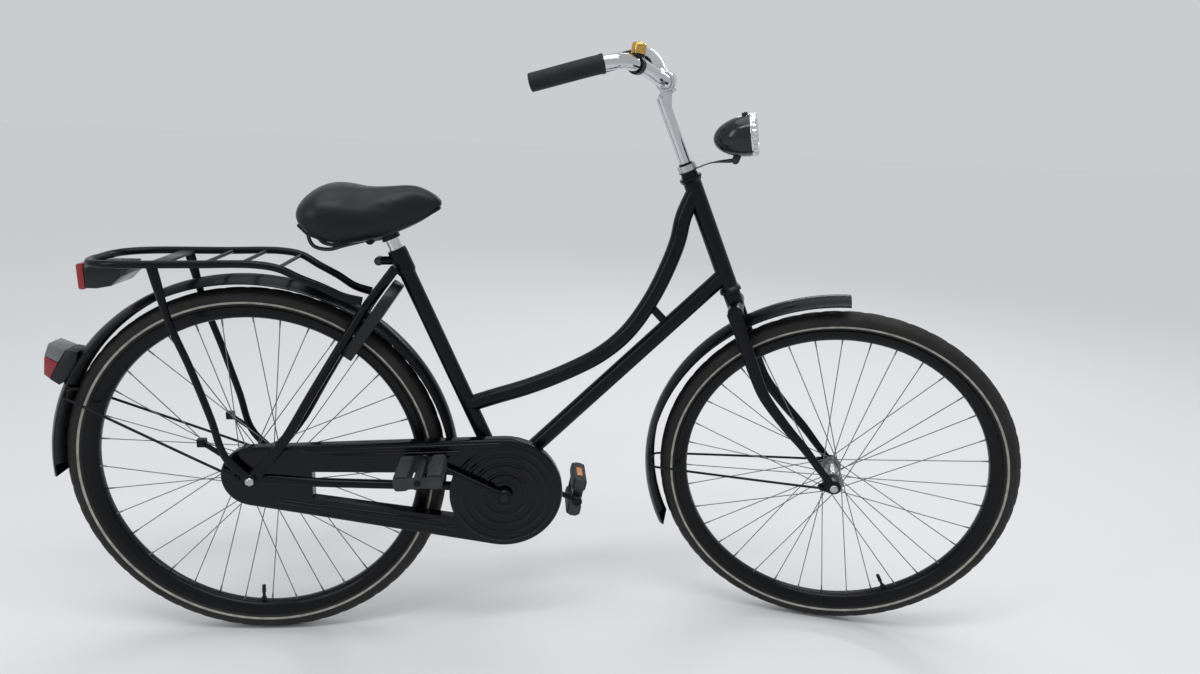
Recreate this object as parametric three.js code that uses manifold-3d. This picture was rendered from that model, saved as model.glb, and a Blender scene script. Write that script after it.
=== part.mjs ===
// A Dutch city bike with a swan-neck frame, a full chain case, a rear carrier and a ring lock.
// Units are millimetres. +X is forward, +Y is the rider's left and +Z is up.
import * as THREE from "three";
import { mergeVertices } from "three/addons/utils/BufferGeometryUtils.js";
import Module from "manifold-3d";

const wasm = await Module();
wasm.setup();

// Stance
const WHEELBASE = 1150;
const HEAD_TILT = 24.2;
const STEER_ANGLE = -17.3;
const FORK_RAKE = 70;
const FORK_LENGTH = 430;
const BRACKET_FORWARD = 475;
const BRACKET_DROP = 31.5;
const CRANK_ANGLE = 153;
const RIGHT_PEDAL_TILT = 4;
const LEFT_PEDAL_TILT = 80;

// Clearances
const GAP = 0.3;
const OVERRUN = 5;
const WELD = 0.0001;
const FACET_TOLERANCE = 0.02;

// Wheels and tyres
const RIM_RADIUS = 322.5;
const RIM_DEPTH = 22.5;
const RIM_WIDTH = 34;
const RIM_WALL = 3;
const TYRE_HEIGHT = 35;
const TYRE_WIDTH = 40;
const TYRE_WALL = 4;
const TYRE_SEAT = 8;
const SPOKE_COUNT = 36;
const SPOKE_RADIUS = 1.1;
const SPOKE_OFFSET = 4;
const SPOKE_STAGGER = 1.3;
const WHEEL_RADIUS = RIM_RADIUS + TYRE_HEIGHT;
const WHEEL_SIDES = 32;

// Hubs and axles
const AXLE_RADIUS = 4.9;
const HUB_WALL = 3;
const FLANGE_THICKNESS = 5;
const FRONT_HUB_WIDTH = 92;
const FRONT_FLANGE_SPACING = 66;
const FRONT_FLANGE_RADIUS = 21;
const FRONT_BARREL_RADIUS = 13;
const FRONT_DROPOUT_SPACING = 100;
const REAR_HUB_WIDTH = 64;
const REAR_FLANGE_SPACING = 54;
const REAR_FLANGE_RADIUS = 34;
const REAR_BARREL_RADIUS = 26;
const REAR_DROPOUT_SPACING = 118;
const DROPOUT_THICKNESS = 5;
const STAY_FLAT = 3;
const LEG_FLAT = 2.5;
const NUT_RADIUS = 9;
const NUT_HEIGHT = 8;
const NUT_CROWN = 3;

// Frame tubes
const HEAD_TUBE_LENGTH = 236;
const HEAD_TUBE_RADIUS = 17;
const HEAD_BORE_RADIUS = 13.7;
const CUP_RADIUS = 21;
const CUP_HEIGHT = 11;
const LOWER_STACK = 12;
const SEAT_TUBE_TILT = 23.9;
const SEAT_TUBE_LENGTH = 512;
const SEAT_TUBE_RADIUS = 15;
const POST_RADIUS = 12.7;
const POST_INSERT = 150;
const POST_SLACK = 30;
const MAIN_TUBE_RADIUS = 16;
const BRACKET_SHELL_RADIUS = 22;
const BRACKET_SHELL_WIDTH = 68;
const CRANK_AXLE_RADIUS = 8;
const CHAIN_STAY_RADIUS = 9;
const SEAT_STAY_RADIUS = 8.5;
const STEERER_RADIUS = 12.7;
const QUILL_RADIUS = 11.1;

// Drive
const CHAINRING_TEETH = 44;
const SPROCKET_TEETH = 20;
const CHAIN_PITCH = 12.7;
const CHAIN_LINE = 46.5;
const CHAIN_WIDTH = 8;
const CHAIN_HEIGHT = 11;
const TOOTH_WIDTH = 3;
const TOOTH_HEIGHT = 3;
const CASE_FRONT_RADIUS = 113.5;
const CASE_REAR_RADIUS = 60;
const CASE_DEPTH = 22.5;
const CASE_WALL = 1.6;
const CRANK_LENGTH = 170;
const CRANK_THICKNESS = 13;
const CRANK_CLEARANCE = 4;
const PEDAL_LENGTH = 90;
const PEDAL_WIDTH = 86;
const PEDAL_BLOCK_WIDTH = 27;
const PEDAL_BLOCK_HEIGHT = 26;

// Saddle and handlebar
const SADDLE_LENGTH = 255;
const SADDLE_WIDTH = 206;
const SADDLE_HEIGHT = 98;
const SADDLE_SETBACK = 158;
const SADDLE_RISE = 3;
const POST_SHOWN = 20;
const STEM_REACH = 17;
const STEM_INSERT = 70;
const BAR_PLACE = 853;
const BAR_RADIUS = 12.5;
const BAR_WIDTH = 380;
const BAR_RISE = 80;
const BAR_SWEEP = 178;
const GRIP_LENGTH = 120;
const GRIP_RADIUS = 15.5;

// Fenders, carrier, lamps and lock
const REAR_FENDER_RADIUS = 383;
const FRONT_FENDER_RADIUS = 390;
const FENDER_WIDTH = 57;
const FENDER_DROP = 14;
const FENDER_WALL = 1.6;
const FENDER_STAY_RADIUS = 2.5;
const CARRIER_WIDTH = 156;
const CARRIER_HEIGHT = 771;
const CARRIER_TAIL = -256;
const CARRIER_FRONT = 212;
const CARRIER_DROP = 68;
const CARRIER_TUBE_RADIUS = 7;
const CARRIER_LEG_RADIUS = 6.5;
const LAMP_RADIUS = 37;
const LAMP_LENGTH = 70;
const TAIL_LAMP_WIDTH = 84;
const FENDER_LAMP_WIDTH = 42;
const LOCK_WIDTH = 104;
const LOCK_DEPTH = 21;

// Colour, roughness and metalness of the finishes
const BLACK_PAINT = [0x141519, 0.38, 0.2];
const GLOSS_BLACK = [0x0c0d0f, 0.22, 0.1];
const DARK_STEEL = [0x3a3b3c, 0.45, 0.7];
const CHROME = [0xc9cbcf, 0.12, 1];
const STEEL = [0x9a9ca0, 0.3, 0.9];
const RUBBER = [0x17181a, 0.75, 0];
const VINYL = [0x1a1b1e, 0.5, 0];
const BLACK_PLASTIC = [0x131417, 0.4, 0];
const SMOKY_PLASTIC = [0x2a2c2c, 0.3, 0];
const RED_LENS = [0x9c1420, 0.15, 0];
const CLEAR_LENS = [0xd9dde0, 0.1, 0];
const BRASS = [0xb8913f, 0.3, 0.9];

// Helpers for places and angles
const at = (x, y, z) => new THREE.Vector3(x, y, z);
const flat = (x, z) => new THREE.Vector2(x, z);
const radians = THREE.MathUtils.degToRad;
const lerp = THREE.MathUtils.lerp;
const inside = (radius, sides) => radius * Math.cos(Math.PI / sides);
const outside = (radius, sides) => radius / Math.cos(Math.PI / sides);
const ordered = (a, b) => (a < b ? [a, b] : [b, a]);
const polar = (radius, degrees, y = 0) =>
  at(radius * Math.cos(radians(degrees)), y, radius * Math.sin(radians(degrees)));
const SIDES = [["right", -1], ["left", 1]];
const STRAIGHT = 180;
const RIGHT = STRAIGHT / 2;

// Keep only positions, merge shared corners, drop slivers and turn the faces outwards
function welded(geometry) {
  const bare = geometry.index ? geometry.toNonIndexed() : geometry.clone();
  for (const name of Object.keys(bare.attributes)) {
    if (name !== "position") bare.deleteAttribute(name);
  }
  const merged = mergeVertices(bare, WELD);
  const place = merged.getAttribute("position");
  const faces = [];
  let volume = 0;
  const [a, b, c] = [at(0, 0, 0), at(0, 0, 0), at(0, 0, 0)];
  for (let i = 0; i < merged.index.count; i += 3) {
    const [p, q, r] = [0, 1, 2].map((k) => merged.index.getX(i + k));
    if (p === q || q === r || r === p) continue;
    faces.push([p, q, r]);
    a.fromBufferAttribute(place, p);
    b.fromBufferAttribute(place, q);
    c.fromBufferAttribute(place, r);
    volume += a.dot(b.cross(c));
  }
  const outward = volume > 0 ? faces : faces.map(([p, q, r]) => [p, r, q]);
  merged.setIndex(outward.flat());
  return merged;
}

function solid(geometry) {
  const merged = welded(geometry);
  return new wasm.Manifold(new wasm.Mesh({
    numProp: 3,
    vertProperties: new Float32Array(merged.getAttribute("position").array),
    triVerts: new Uint32Array(merged.index.array),
  }));
}

function skin(manifold) {
  const found = manifold.simplify(FACET_TOLERANCE).getMesh();
  const geometry = new THREE.BufferGeometry();
  geometry.setAttribute("position", new THREE.BufferAttribute(new Float32Array(found.vertProperties), 3));
  geometry.setIndex(new THREE.BufferAttribute(new Uint32Array(found.triVerts), 1));
  return geometry;
}

const join = (...pieces) => skin(pieces.map(solid).reduce((whole, piece) => whole.add(piece)));
const cut = (body, ...tools) =>
  skin(tools.map(solid).reduce((rest, tool) => rest.subtract(tool), solid(body)));
const common = (body, tool) => skin(solid(body).intersect(solid(tool)));

// A closed skin through rings of points, capped with the flat outline that they follow
function loft(rings, outline) {
  const count = outline.length;
  const faces = [];
  for (let i = 0; i + 1 < rings.length; i += 1) {
    for (let k = 0; k < count; k += 1) {
      const [p, q] = [i * count + k, i * count + (k + 1) % count];
      faces.push(p, q, q + count, p, q + count, p + count);
    }
  }
  const last = (rings.length - 1) * count;
  const clockwise = THREE.ShapeUtils.isClockWise(outline);
  for (const [p, ...others] of THREE.ShapeUtils.triangulateShape(outline, [])) {
    const [q, r] = clockwise ? others.reverse() : others;
    faces.push(p, r, q, last + p, last + q, last + r);
  }
  const geometry = new THREE.BufferGeometry().setFromPoints(rings.flat());
  geometry.setIndex(faces);
  return geometry;
}

const circle = (sides, radius = 1) => Array.from({ length: sides }, (_, k) => {
  const turn = (2 * Math.PI * (k + 1 / 2)) / sides;
  return flat(radius * Math.cos(turn), radius * Math.sin(turn));
});

// A bar along a path with half sizes across it and square to that; its section doesn't twist
function bar(path, steps, sides, sizeAt, across = at(0, 1, 0)) {
  const outline = circle(sides);
  const side = across.clone();
  const rings = Array.from({ length: steps + 1 }, (_, i) => {
    const share = i / steps;
    const place = path.getPointAt(share);
    const along = path.getTangentAt(share);
    side.addScaledVector(along, -side.dot(along)).normalize();
    const up = along.clone().cross(side);
    const [half, height] = sizeAt(share);
    return outline.map((point) => place.clone()
      .addScaledVector(side, point.x * half)
      .addScaledVector(up, point.y * height));
  });
  return loft(rings, outline);
}

// Sizes that run between rows of a table whose first column is the share of the way
function between(shares) {
  return (share) => {
    const next = Math.max(1, shares.findIndex((row) => row[0] >= share));
    const [from, to] = [shares[next - 1], shares[next]];
    const part = (share - from[0]) / (to[0] - from[0]);
    return from.slice(1).map((value, i) => lerp(value, to[i + 1], part));
  };
}

const curve = (...points) => new THREE.CatmullRomCurve3(points, false, "centripetal");
const line = (from, to) => new THREE.LineCurve3(from, to);

// A round tube of one size along a path
const tube = (path, radius, sides = 10, steps = 1) =>
  new THREE.ExtrudeGeometry(new THREE.Shape(circle(sides, radius)), { steps, extrudePath: path });

// Turned pieces about the Y, Z and X axes, from pairs of radius and place along the axis
const turned = (profile, sides = 24) =>
  new THREE.LatheGeometry(profile.map(([radius, along]) => flat(radius, along)), sides);
const turnedUp = (profile, sides) => turned(profile, sides).rotateX(Math.PI / 2);
const turnedForward = (profile, sides) => turned(profile, sides).rotateZ(-Math.PI / 2);
const rod = (radius, low, high) => [[0, low], [radius, low], [radius, high], [0, high]];
const ring = (outer, inner, low, high) =>
  [[inner, low], [outer, low], [outer, high], [inner, high], [inner, low]];

// A plate from an outline in X and Z, between two places along Y
function plate(outline, low, high, holes = []) {
  const shape = new THREE.Shape(outline);
  shape.holes = holes.map((hole) => new THREE.Path(hole));
  return new THREE.ExtrudeGeometry(shape, { depth: high - low, bevelEnabled: false })
    .rotateX(Math.PI / 2)
    .translate(0, high, 0);
}

const arc = (x, z, radius, from, to, steps) => Array.from({ length: steps + 1 }, (_, i) => {
  const turn = radians(lerp(from, to, i / steps));
  return flat(x + radius * Math.cos(turn), z + radius * Math.sin(turn));
});

// The outline of a belt drawn round two circles
function wrapped(front, frontRadius, rear, rearRadius, frontSteps, rearSteps) {
  const span = rear.clone().sub(front);
  const heading = THREE.MathUtils.radToDeg(Math.atan2(span.z, span.x));
  const spread = THREE.MathUtils.radToDeg(
    Math.acos((frontRadius - rearRadius) / Math.hypot(span.x, span.z)));
  const turn = 2 * STRAIGHT;
  return [
    ...arc(front.x, front.z, frontRadius, heading + spread, heading - spread + turn, frontSteps),
    ...arc(rear.x, rear.z, rearRadius, heading - spread, heading + spread, rearSteps),
  ];
}

// A rounded rectangle about a centre
function rounded(width, height, corner, steps = 2) {
  const [x, z] = [width / 2 - corner, height / 2 - corner];
  return [[x, z], [-x, z], [-x, -z], [x, -z]].flatMap(([cx, cz], i) =>
    arc(cx, cz, corner, i * RIGHT, (i + 1) * RIGHT, steps));
}

// A section of places across and outwards, carried round an arc about the Y axis
function around(section, radius, from, to, steps) {
  const outline = section.map(([across, out]) => flat(across, out));
  const rings = Array.from({ length: steps + 1 }, (_, i) => {
    const degrees = lerp(from, to, i / steps);
    return section.map(([across, out]) => polar(radius + out, degrees, across));
  });
  return loft(rings, outline);
}

function mesh(parent, name, geometry, [color, roughness, metalness], place = at(0, 0, 0)) {
  const material = new THREE.MeshStandardMaterial({ color, roughness, metalness });
  const piece = new THREE.Mesh(welded(geometry), material);
  piece.name = name;
  piece.position.copy(place);
  parent.add(piece);
  return piece;
}

// Main places, from the ground under the rear axle
const rearAxle = at(0, 0, WHEEL_RADIUS);
const frontAxle = at(WHEELBASE, 0, WHEEL_RADIUS);
const bracket = at(BRACKET_FORWARD, 0, WHEEL_RADIUS - BRACKET_DROP);
const tilted = (degrees) => at(-Math.sin(radians(degrees)), 0, Math.cos(radians(degrees)));
const forwardOf = (up) => at(up.z, 0, -up.x);
const headUp = tilted(HEAD_TILT);
const headFoot = frontAxle.clone().addScaledVector(forwardOf(headUp), -FORK_RAKE);
const onHead = (along) => headFoot.clone().addScaledVector(headUp, along);
const headTubeFoot = FORK_LENGTH + LOWER_STACK;
const headTubeTop = headTubeFoot + HEAD_TUBE_LENGTH;
const seatUp = tilted(SEAT_TUBE_TILT);
const onSeat = (along, forward = 0) =>
  bracket.clone().addScaledVector(seatUp, along).addScaledVector(forwardOf(seatUp), forward);

const bike = new THREE.Group();
const frame = new THREE.Group();
const headGroup = new THREE.Group();
headGroup.position.copy(headFoot);
headGroup.rotation.y = -radians(HEAD_TILT);
const steered = new THREE.Group();
steered.rotation.z = radians(STEER_ANGLE);
frame.add(headGroup);
headGroup.add(steered);
bike.add(frame);

// Wheels

const TYRE_STATIONS = [-128, -75, -35, 0, 35, 75, 128];
const CASING_STATIONS = [100, 0, -100];

function tyre() {
  const centre = WHEEL_RADIUS - TYRE_WIDTH / 2;
  const seatHalf = RIM_WIDTH / 2 - RIM_WALL - GAP;
  const beadHalf = seatHalf - TYRE_WALL;
  const seat = RIM_RADIUS - TYRE_SEAT;
  const station = (radius) => (degrees) =>
    [centre + radius * Math.cos(radians(degrees)), radius * Math.sin(radians(degrees))];
  const profile = [
    [seat, -seatHalf],
    [RIM_RADIUS, -seatHalf],
    ...TYRE_STATIONS.map(station(TYRE_WIDTH / 2)),
    [RIM_RADIUS, seatHalf],
    [seat, seatHalf],
    [seat, beadHalf],
    ...CASING_STATIONS.map(station(TYRE_WIDTH / 2 - TYRE_WALL)),
    [seat, -beadHalf],
    [seat, -seatHalf],
  ];
  return turned(profile, WHEEL_SIDES);
}

function rim() {
  const half = RIM_WIDTH / 2;
  const well = RIM_RADIUS - RIM_DEPTH;
  const bed = RIM_RADIUS - TYRE_SEAT - GAP;
  const floor = half / 2;
  const profile = [
    [RIM_RADIUS, -half],
    [RIM_RADIUS, -half + RIM_WALL],
    [bed, -half + RIM_WALL],
    [bed, half - RIM_WALL],
    [RIM_RADIUS, half - RIM_WALL],
    [RIM_RADIUS, half],
    [bed - RIM_WALL, half],
    [well, floor],
    [well, -floor],
    [bed - RIM_WALL, -half],
    [RIM_RADIUS, -half],
  ];
  return turned(profile, WHEEL_SIDES);
}

// A hub shell with flanges, and spokes laced in threes to just short of the rim
const SPOKE_CROSSINGS = 3;
const rimReach = inside(RIM_RADIUS - RIM_DEPTH, WHEEL_SIDES) - GAP;
function hubAndSpokes(width, spacing, flangeRadius, barrelRadius) {
  const half = spacing / 2;
  const flange = FLANGE_THICKNESS / 2;
  const bore = AXLE_RADIUS + GAP;
  const shell = turned([
    [bore, -width / 2],
    [barrelRadius - HUB_WALL, -width / 2],
    [barrelRadius, -half - flange],
    [flangeRadius, -half - flange],
    [flangeRadius, -half + flange],
    [barrelRadius, -half + flange],
    [barrelRadius, half - flange],
    [flangeRadius, half - flange],
    [flangeRadius, half + flange],
    [barrelRadius, half + flange],
    [barrelRadius - HUB_WALL, width / 2],
    [bore, width / 2],
    [bore, -width / 2],
  ], 12);
  const perSide = SPOKE_COUNT / 2;
  const pitch = 2 * STRAIGHT / perSide;
  const spokes = [];
  for (const [, side] of SIDES) {
    for (let k = 0; k < perSide; k += 1) {
      const lean = k % 2 ? 1 : -1;
      const start = pitch * (k + (side + 1) / 4);
      const from = polar(flangeRadius - HUB_WALL, start, side * half + lean * SPOKE_STAGGER);
      const across = side * SPOKE_OFFSET + lean * SPOKE_STAGGER;
      const to = polar(rimReach, start + lean * pitch * SPOKE_CROSSINGS, across);
      spokes.push(tube(line(from, to), SPOKE_RADIUS, 3));
    }
  }
  return join(shell, ...spokes);
}

function wheel(parent, name, place, hub, finish) {
  mesh(parent, `${name}_hub_and_spokes`, hub, finish, place);
  mesh(parent, `${name}_rim`, rim(), DARK_STEEL, place);
  mesh(parent, `${name}_tyre`, tyre(), RUBBER, place);
}
wheel(frame, "rear", rearAxle, hubAndSpokes(
  REAR_HUB_WIDTH, REAR_FLANGE_SPACING, REAR_FLANGE_RADIUS, REAR_BARREL_RADIUS), DARK_STEEL);
wheel(steered, "front", at(FORK_RAKE, 0, 0), hubAndSpokes(
  FRONT_HUB_WIDTH, FRONT_FLANGE_SPACING, FRONT_FLANGE_RADIUS, FRONT_BARREL_RADIUS), STEEL);

// Axles, with the collars inside the dropouts and the domed nuts outside

function axle(nutPlace, collars) {
  const end = nutPlace + NUT_HEIGHT;
  const nuts = SIDES.map(([, side]) => turned([
    [0, side * nutPlace],
    [NUT_RADIUS, side * nutPlace],
    [NUT_RADIUS, side * (end - NUT_CROWN)],
    [AXLE_RADIUS, side * end],
    [0, side * end],
  ], 6));
  const rings = collars.map(([radius, low, high]) => turned(rod(radius, low, high), 10));
  return join(turned(rod(AXLE_RADIUS, -nutPlace, nutPlace), 8), ...nuts, ...rings);
}

const rearDropout = REAR_DROPOUT_SPACING / 2;
const rearDropoutFace = rearDropout + DROPOUT_THICKNESS;
const stayFace = rearDropoutFace + GAP + STAY_FLAT;
const legFace = stayFace + GAP + LEG_FLAT;
const caseInner = BRACKET_SHELL_WIDTH / 2 + GAP;
const caseOuter = caseInner + CASE_DEPTH;

const COLLAR_RADIUS = 9;
const DRIVER_RADIUS = 14;
const DRIVER_LENGTH = 18;
const BRAKE_HOUSING_LENGTH = 8.5;
const BRAKE_ARM_THICKNESS = 3;
const hubEnd = REAR_HUB_WIDTH / 2 + GAP;
const driverEnd = hubEnd + DRIVER_LENGTH;
const housingEnd = hubEnd + BRAKE_HOUSING_LENGTH;
const armFace = housingEnd + 2 * GAP + BRAKE_ARM_THICKNESS;
mesh(frame, "rear_axle", axle(legFace + GAP, [
  [COLLAR_RADIUS, -rearDropout + GAP, -driverEnd - GAP],
  [DRIVER_RADIUS, hubEnd, housingEnd],
  [COLLAR_RADIUS, armFace, rearDropout - GAP],
]), STEEL, rearAxle);

const frontDropout = FRONT_DROPOUT_SPACING / 2;
const frontDropoutFace = frontDropout + DROPOUT_THICKNESS;
const frontHubEnd = FRONT_HUB_WIDTH / 2 + GAP;
mesh(steered, "front_axle", axle(frontDropoutFace + GAP, SIDES.map(
  ([, side]) => [COLLAR_RADIUS, side * frontHubEnd, side * (frontDropout - GAP)])),
STEEL, at(FORK_RAKE, 0, 0));

// Arm that takes the hub brake's turning force along the left chain stay
const BRAKE_ARM_LENGTH = 150;
const BRAKE_ARM_DROP = 12;
const BRAKE_ARM_ROOT = 15;
const BRAKE_ARM_TIP = 8;
const brakeArmOutline = wrapped(
  at(0, 0, 0), BRAKE_ARM_ROOT, at(BRAKE_ARM_LENGTH, 0, -BRAKE_ARM_DROP), BRAKE_ARM_TIP, 8, 6);
mesh(frame, "brake_arm", cut(
  plate(brakeArmOutline, housingEnd + GAP, armFace - GAP),
  turned(rod(AXLE_RADIUS + GAP, housingEnd - OVERRUN, armFace + OVERRUN), 12),
), DARK_STEEL, rearAxle);

// Main frame: head tube and cups, seat tube and lug, down tube, swan-neck tube and bracket shell

const SWAN_NECK_SHARES = [
  [0.956, 0.886], [0.939, 0.786], [0.908, 0.685], [0.831, 0.51], [0.725, 0.352],
  [0.61, 0.251], [0.468, 0.172], [0.283, 0.093], [0.12, 0.04],
];
const SWAN_NECK_TOP = 208;
const SWAN_NECK_FOOT = 181;
const DOWN_TUBE_TOP = 36;
const DOWN_TUBE_BACK = 13;
const DOWN_TUBE_UP = 8;
const BRIDGE_RADIUS = 8;
const BRIDGE_SHARE = 0.36;
const SEAT_LUG_RADIUS = 18;
const SEAT_LUG_LENGTH = 46;
const CLAMP_REACH = 38;
const CLAMP_DROP = 8;
const CLAMP_WIDTH = 20;
const CLAMP_RADIUS = 8;
const CLAMP_SLOT = 3;
const CLAMP_BOLT_RADIUS = 3.5;
const CLAMP_HEAD_RADIUS = 6;
const CLAMP_HEAD_HEIGHT = 4;

const swanFrom = onSeat(SWAN_NECK_FOOT);
const swanTo = onHead(headTubeFoot + SWAN_NECK_TOP);
const swanNeck = curve(
  swanTo,
  ...SWAN_NECK_SHARES.map(([x, z]) => at(lerp(swanFrom.x, swanTo.x, x), 0, lerp(swanFrom.z, swanTo.z, z))),
  swanFrom,
);
const downTubeFoot = bracket.clone().add(at(-DOWN_TUBE_BACK, 0, DOWN_TUBE_UP));
const downTube = line(onHead(headTubeFoot + DOWN_TUBE_TOP), downTubeFoot);
const seatTubeTop = onSeat(SEAT_TUBE_LENGTH);
const clampPlace = onSeat(SEAT_TUBE_LENGTH - CLAMP_DROP, -CLAMP_REACH);
const postFoot = SEAT_TUBE_LENGTH - POST_INSERT;

function mainFrame() {
  const onAxis = (geometry) =>
    geometry.rotateY(-radians(HEAD_TILT)).translate(headFoot.x, 0, headFoot.z);
  const headTube = onAxis(turnedUp([
    [HEAD_BORE_RADIUS, headTubeFoot],
    [CUP_RADIUS, headTubeFoot],
    [CUP_RADIUS, headTubeFoot + CUP_HEIGHT / 2],
    [HEAD_TUBE_RADIUS, headTubeFoot + CUP_HEIGHT],
    [HEAD_TUBE_RADIUS, headTubeTop - CUP_HEIGHT],
    [CUP_RADIUS, headTubeTop - CUP_HEIGHT / 2],
    [CUP_RADIUS, headTubeTop],
    [HEAD_BORE_RADIUS, headTubeTop],
    [HEAD_BORE_RADIUS, headTubeFoot],
  ], 14));
  const headBore = onAxis(turnedUp(
    rod(HEAD_BORE_RADIUS, headTubeFoot - OVERRUN, headTubeTop + OVERRUN), 14));
  const half = BRACKET_SHELL_WIDTH / 2;
  const shell = turned(rod(BRACKET_SHELL_RADIUS, -half, half), 16).translate(bracket.x, 0, bracket.z);
  const axleBore = turned(rod(CRANK_AXLE_RADIUS + GAP, -2 * half, 2 * half), 14)
    .translate(bracket.x, 0, bracket.z);
  const neck = tube(swanNeck, MAIN_TUBE_RADIUS, 10, 16);
  const bridgeTop = swanNeck.getPointAt(BRIDGE_SHARE);
  const down = downTube.v1.clone().sub(downTube.v2).normalize();
  const bridgeFoot = downTubeFoot.clone()
    .addScaledVector(down, bridgeTop.clone().sub(downTubeFoot).dot(down));
  const ear = bar(line(onSeat(SEAT_TUBE_LENGTH - SEAT_LUG_LENGTH / 2), clampPlace), 1, 8,
    () => [CLAMP_WIDTH / 2, CLAMP_RADIUS]);
  const eye = turned(rod(CLAMP_RADIUS, -CLAMP_WIDTH / 2, CLAMP_WIDTH / 2), 12)
    .translate(clampPlace.x, 0, clampPlace.z);
  const slotFoot = SEAT_TUBE_LENGTH - SEAT_LUG_LENGTH + CLAMP_SLOT;
  const slot = plate([
    onSeat(slotFoot), onSeat(SEAT_TUBE_LENGTH + OVERRUN),
    onSeat(SEAT_TUBE_LENGTH + OVERRUN, -2 * CLAMP_REACH), onSeat(slotFoot, -2 * CLAMP_REACH),
  ].map((point) => flat(point.x, point.z)), -CLAMP_SLOT / 2, CLAMP_SLOT / 2);
  const boltHole = turned(rod(CLAMP_BOLT_RADIUS + GAP, -CLAMP_WIDTH, CLAMP_WIDTH), 10)
    .translate(clampPlace.x, 0, clampPlace.z);
  const seatBore = tube(
    line(onSeat(postFoot - POST_SLACK), onSeat(SEAT_TUBE_LENGTH + OVERRUN)), POST_RADIUS + GAP, 14);
  return cut(
    join(
      headTube, shell, neck, ear, eye,
      tube(line(onSeat(0), seatTubeTop), SEAT_TUBE_RADIUS, 14),
      tube(line(onSeat(SEAT_TUBE_LENGTH - SEAT_LUG_LENGTH), seatTubeTop), SEAT_LUG_RADIUS, 14),
      tube(downTube, MAIN_TUBE_RADIUS, 10),
      tube(line(bridgeTop, bridgeFoot), BRIDGE_RADIUS, 8),
    ),
    headBore, axleBore, seatBore, slot, boltHole,
  );
}
mesh(frame, "main_frame", mainFrame(), BLACK_PAINT);

const clampHead = CLAMP_WIDTH / 2 + GAP;
mesh(frame, "seat_clamp_bolt", join(
  turned(rod(CLAMP_BOLT_RADIUS, -clampHead - CLAMP_HEAD_HEIGHT, clampHead + CLAMP_HEAD_HEIGHT), 10),
  ...SIDES.map(([, side]) =>
    turned(rod(CLAMP_HEAD_RADIUS, side * clampHead, side * (clampHead + CLAMP_HEAD_HEIGHT)), 6)),
), STEEL, at(clampPlace.x, 0, clampPlace.z));

// Flat ends that go on an axle: an eye, its bore, and what trims the tube to the eye's faces
function axleEye(radius, low, high) {
  const onAxle = (geometry) => geometry.translate(0, 0, WHEEL_RADIUS);
  return {
    eye: onAxle(turned(rod(radius, low, high), 14)),
    cuts: [
      onAxle(turned(rod(AXLE_RADIUS + GAP, low - OVERRUN, high + OVERRUN), 12)),
      onAxle(turned(rod(2 * radius, low - OVERRUN, low), 14)),
      onAxle(turned(rod(2 * radius, high, high + OVERRUN), 14)),
    ],
  };
}

// Chain stays, each with its dropout plate

const DROPOUT_RADIUS = 15;
const DROPOUT_LOBE_RADIUS = 7;
const DROPOUT_LOBE_REACH = 24;
const DROPOUT_LOBE_RISE = 5;
const CHAIN_STAY_ROOT = 19;
const CHAIN_STAY_INSET = 9;
const CHAIN_STAY_SHARES = [[0, 0], [0.17, 0.2], [0.3, 0.36], [0.5, 0.6], [0.7, 0.82], [0.88, 0.98], [1, 1]];
const CHAIN_STAY_SIZE_SHARES = [[0, 1, 1], [0.72, 1, 1], [0.92, 0.28, 1], [1, 0.28, 1]];

function chainStayBar(side, extra) {
  const rootSide = side * (BRACKET_SHELL_WIDTH / 2 - CHAIN_STAY_INSET);
  const root = at(bracket.x - CHAIN_STAY_ROOT, rootSide, bracket.z);
  const tip = at(0, side * (rearDropout + DROPOUT_THICKNESS / 2), WHEEL_RADIUS);
  const path = curve(...CHAIN_STAY_SHARES.map(([along, spread]) => at(
    lerp(root.x, tip.x, along), lerp(root.y, tip.y, spread), lerp(root.z, tip.z, along))));
  const sizes = between(CHAIN_STAY_SIZE_SHARES);
  return bar(path, 9, 8, (share) => sizes(share).map((size) => CHAIN_STAY_RADIUS * size + extra));
}

function chainStay(side) {
  const lobe = at(-DROPOUT_LOBE_REACH, 0, WHEEL_RADIUS + DROPOUT_LOBE_RISE);
  const [low, high] = ordered(side * rearDropout, side * rearDropoutFace);
  const dropout = plate(wrapped(rearAxle, DROPOUT_RADIUS, lobe, DROPOUT_LOBE_RADIUS, 8, 6), low, high);
  const room = turned(
    rod(outside(BRACKET_SHELL_RADIUS + GAP, 16), -BRACKET_SHELL_WIDTH, BRACKET_SHELL_WIDTH), 16)
    .translate(bracket.x, 0, bracket.z);
  return cut(join(chainStayBar(side, 0), dropout), room, ...axleEye(DROPOUT_RADIUS, low, high).cuts);
}
for (const [name, side] of SIDES) mesh(frame, `chain_stay_${name}`, chainStay(side), BLACK_PAINT);

// Seat stays, flattened at both ends

const SEAT_STAY_DROP = 30;
const SEAT_STAY_BACK = 13;
const SEAT_STAY_BOW = 10;
const SEAT_STAY_SHARES = [
  [0, 0, 0], [0.1, -0.26, 0.08], [0.16, -0.38, 0.25], [0.25, -0.35, 0.42], [0.37, -0.1, 0.58],
  [0.588, 0.44, 0.8], [0.79, 1.03, 0.99], [0.9, 0.7, 1.01], [1, 0, 1],
];
const SEAT_STAY_SIZE_SHARES = [
  [0, 0.5, 1], [0.08, 0.6, 1], [0.18, 1, 1], [0.7, 1, 1], [0.82, 0.6, 1.05], [0.93, 0.18, 1.2],
  [1, 0.18, 1.2],
];
const SEAT_STAY_EYE = 12;
const stayTop = onSeat(SEAT_TUBE_LENGTH - SEAT_STAY_DROP, -SEAT_STAY_BACK);
const stayRun = rearAxle.clone().sub(stayTop).normalize();
const stayForward = at(-stayRun.z, 0, stayRun.x);

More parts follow.
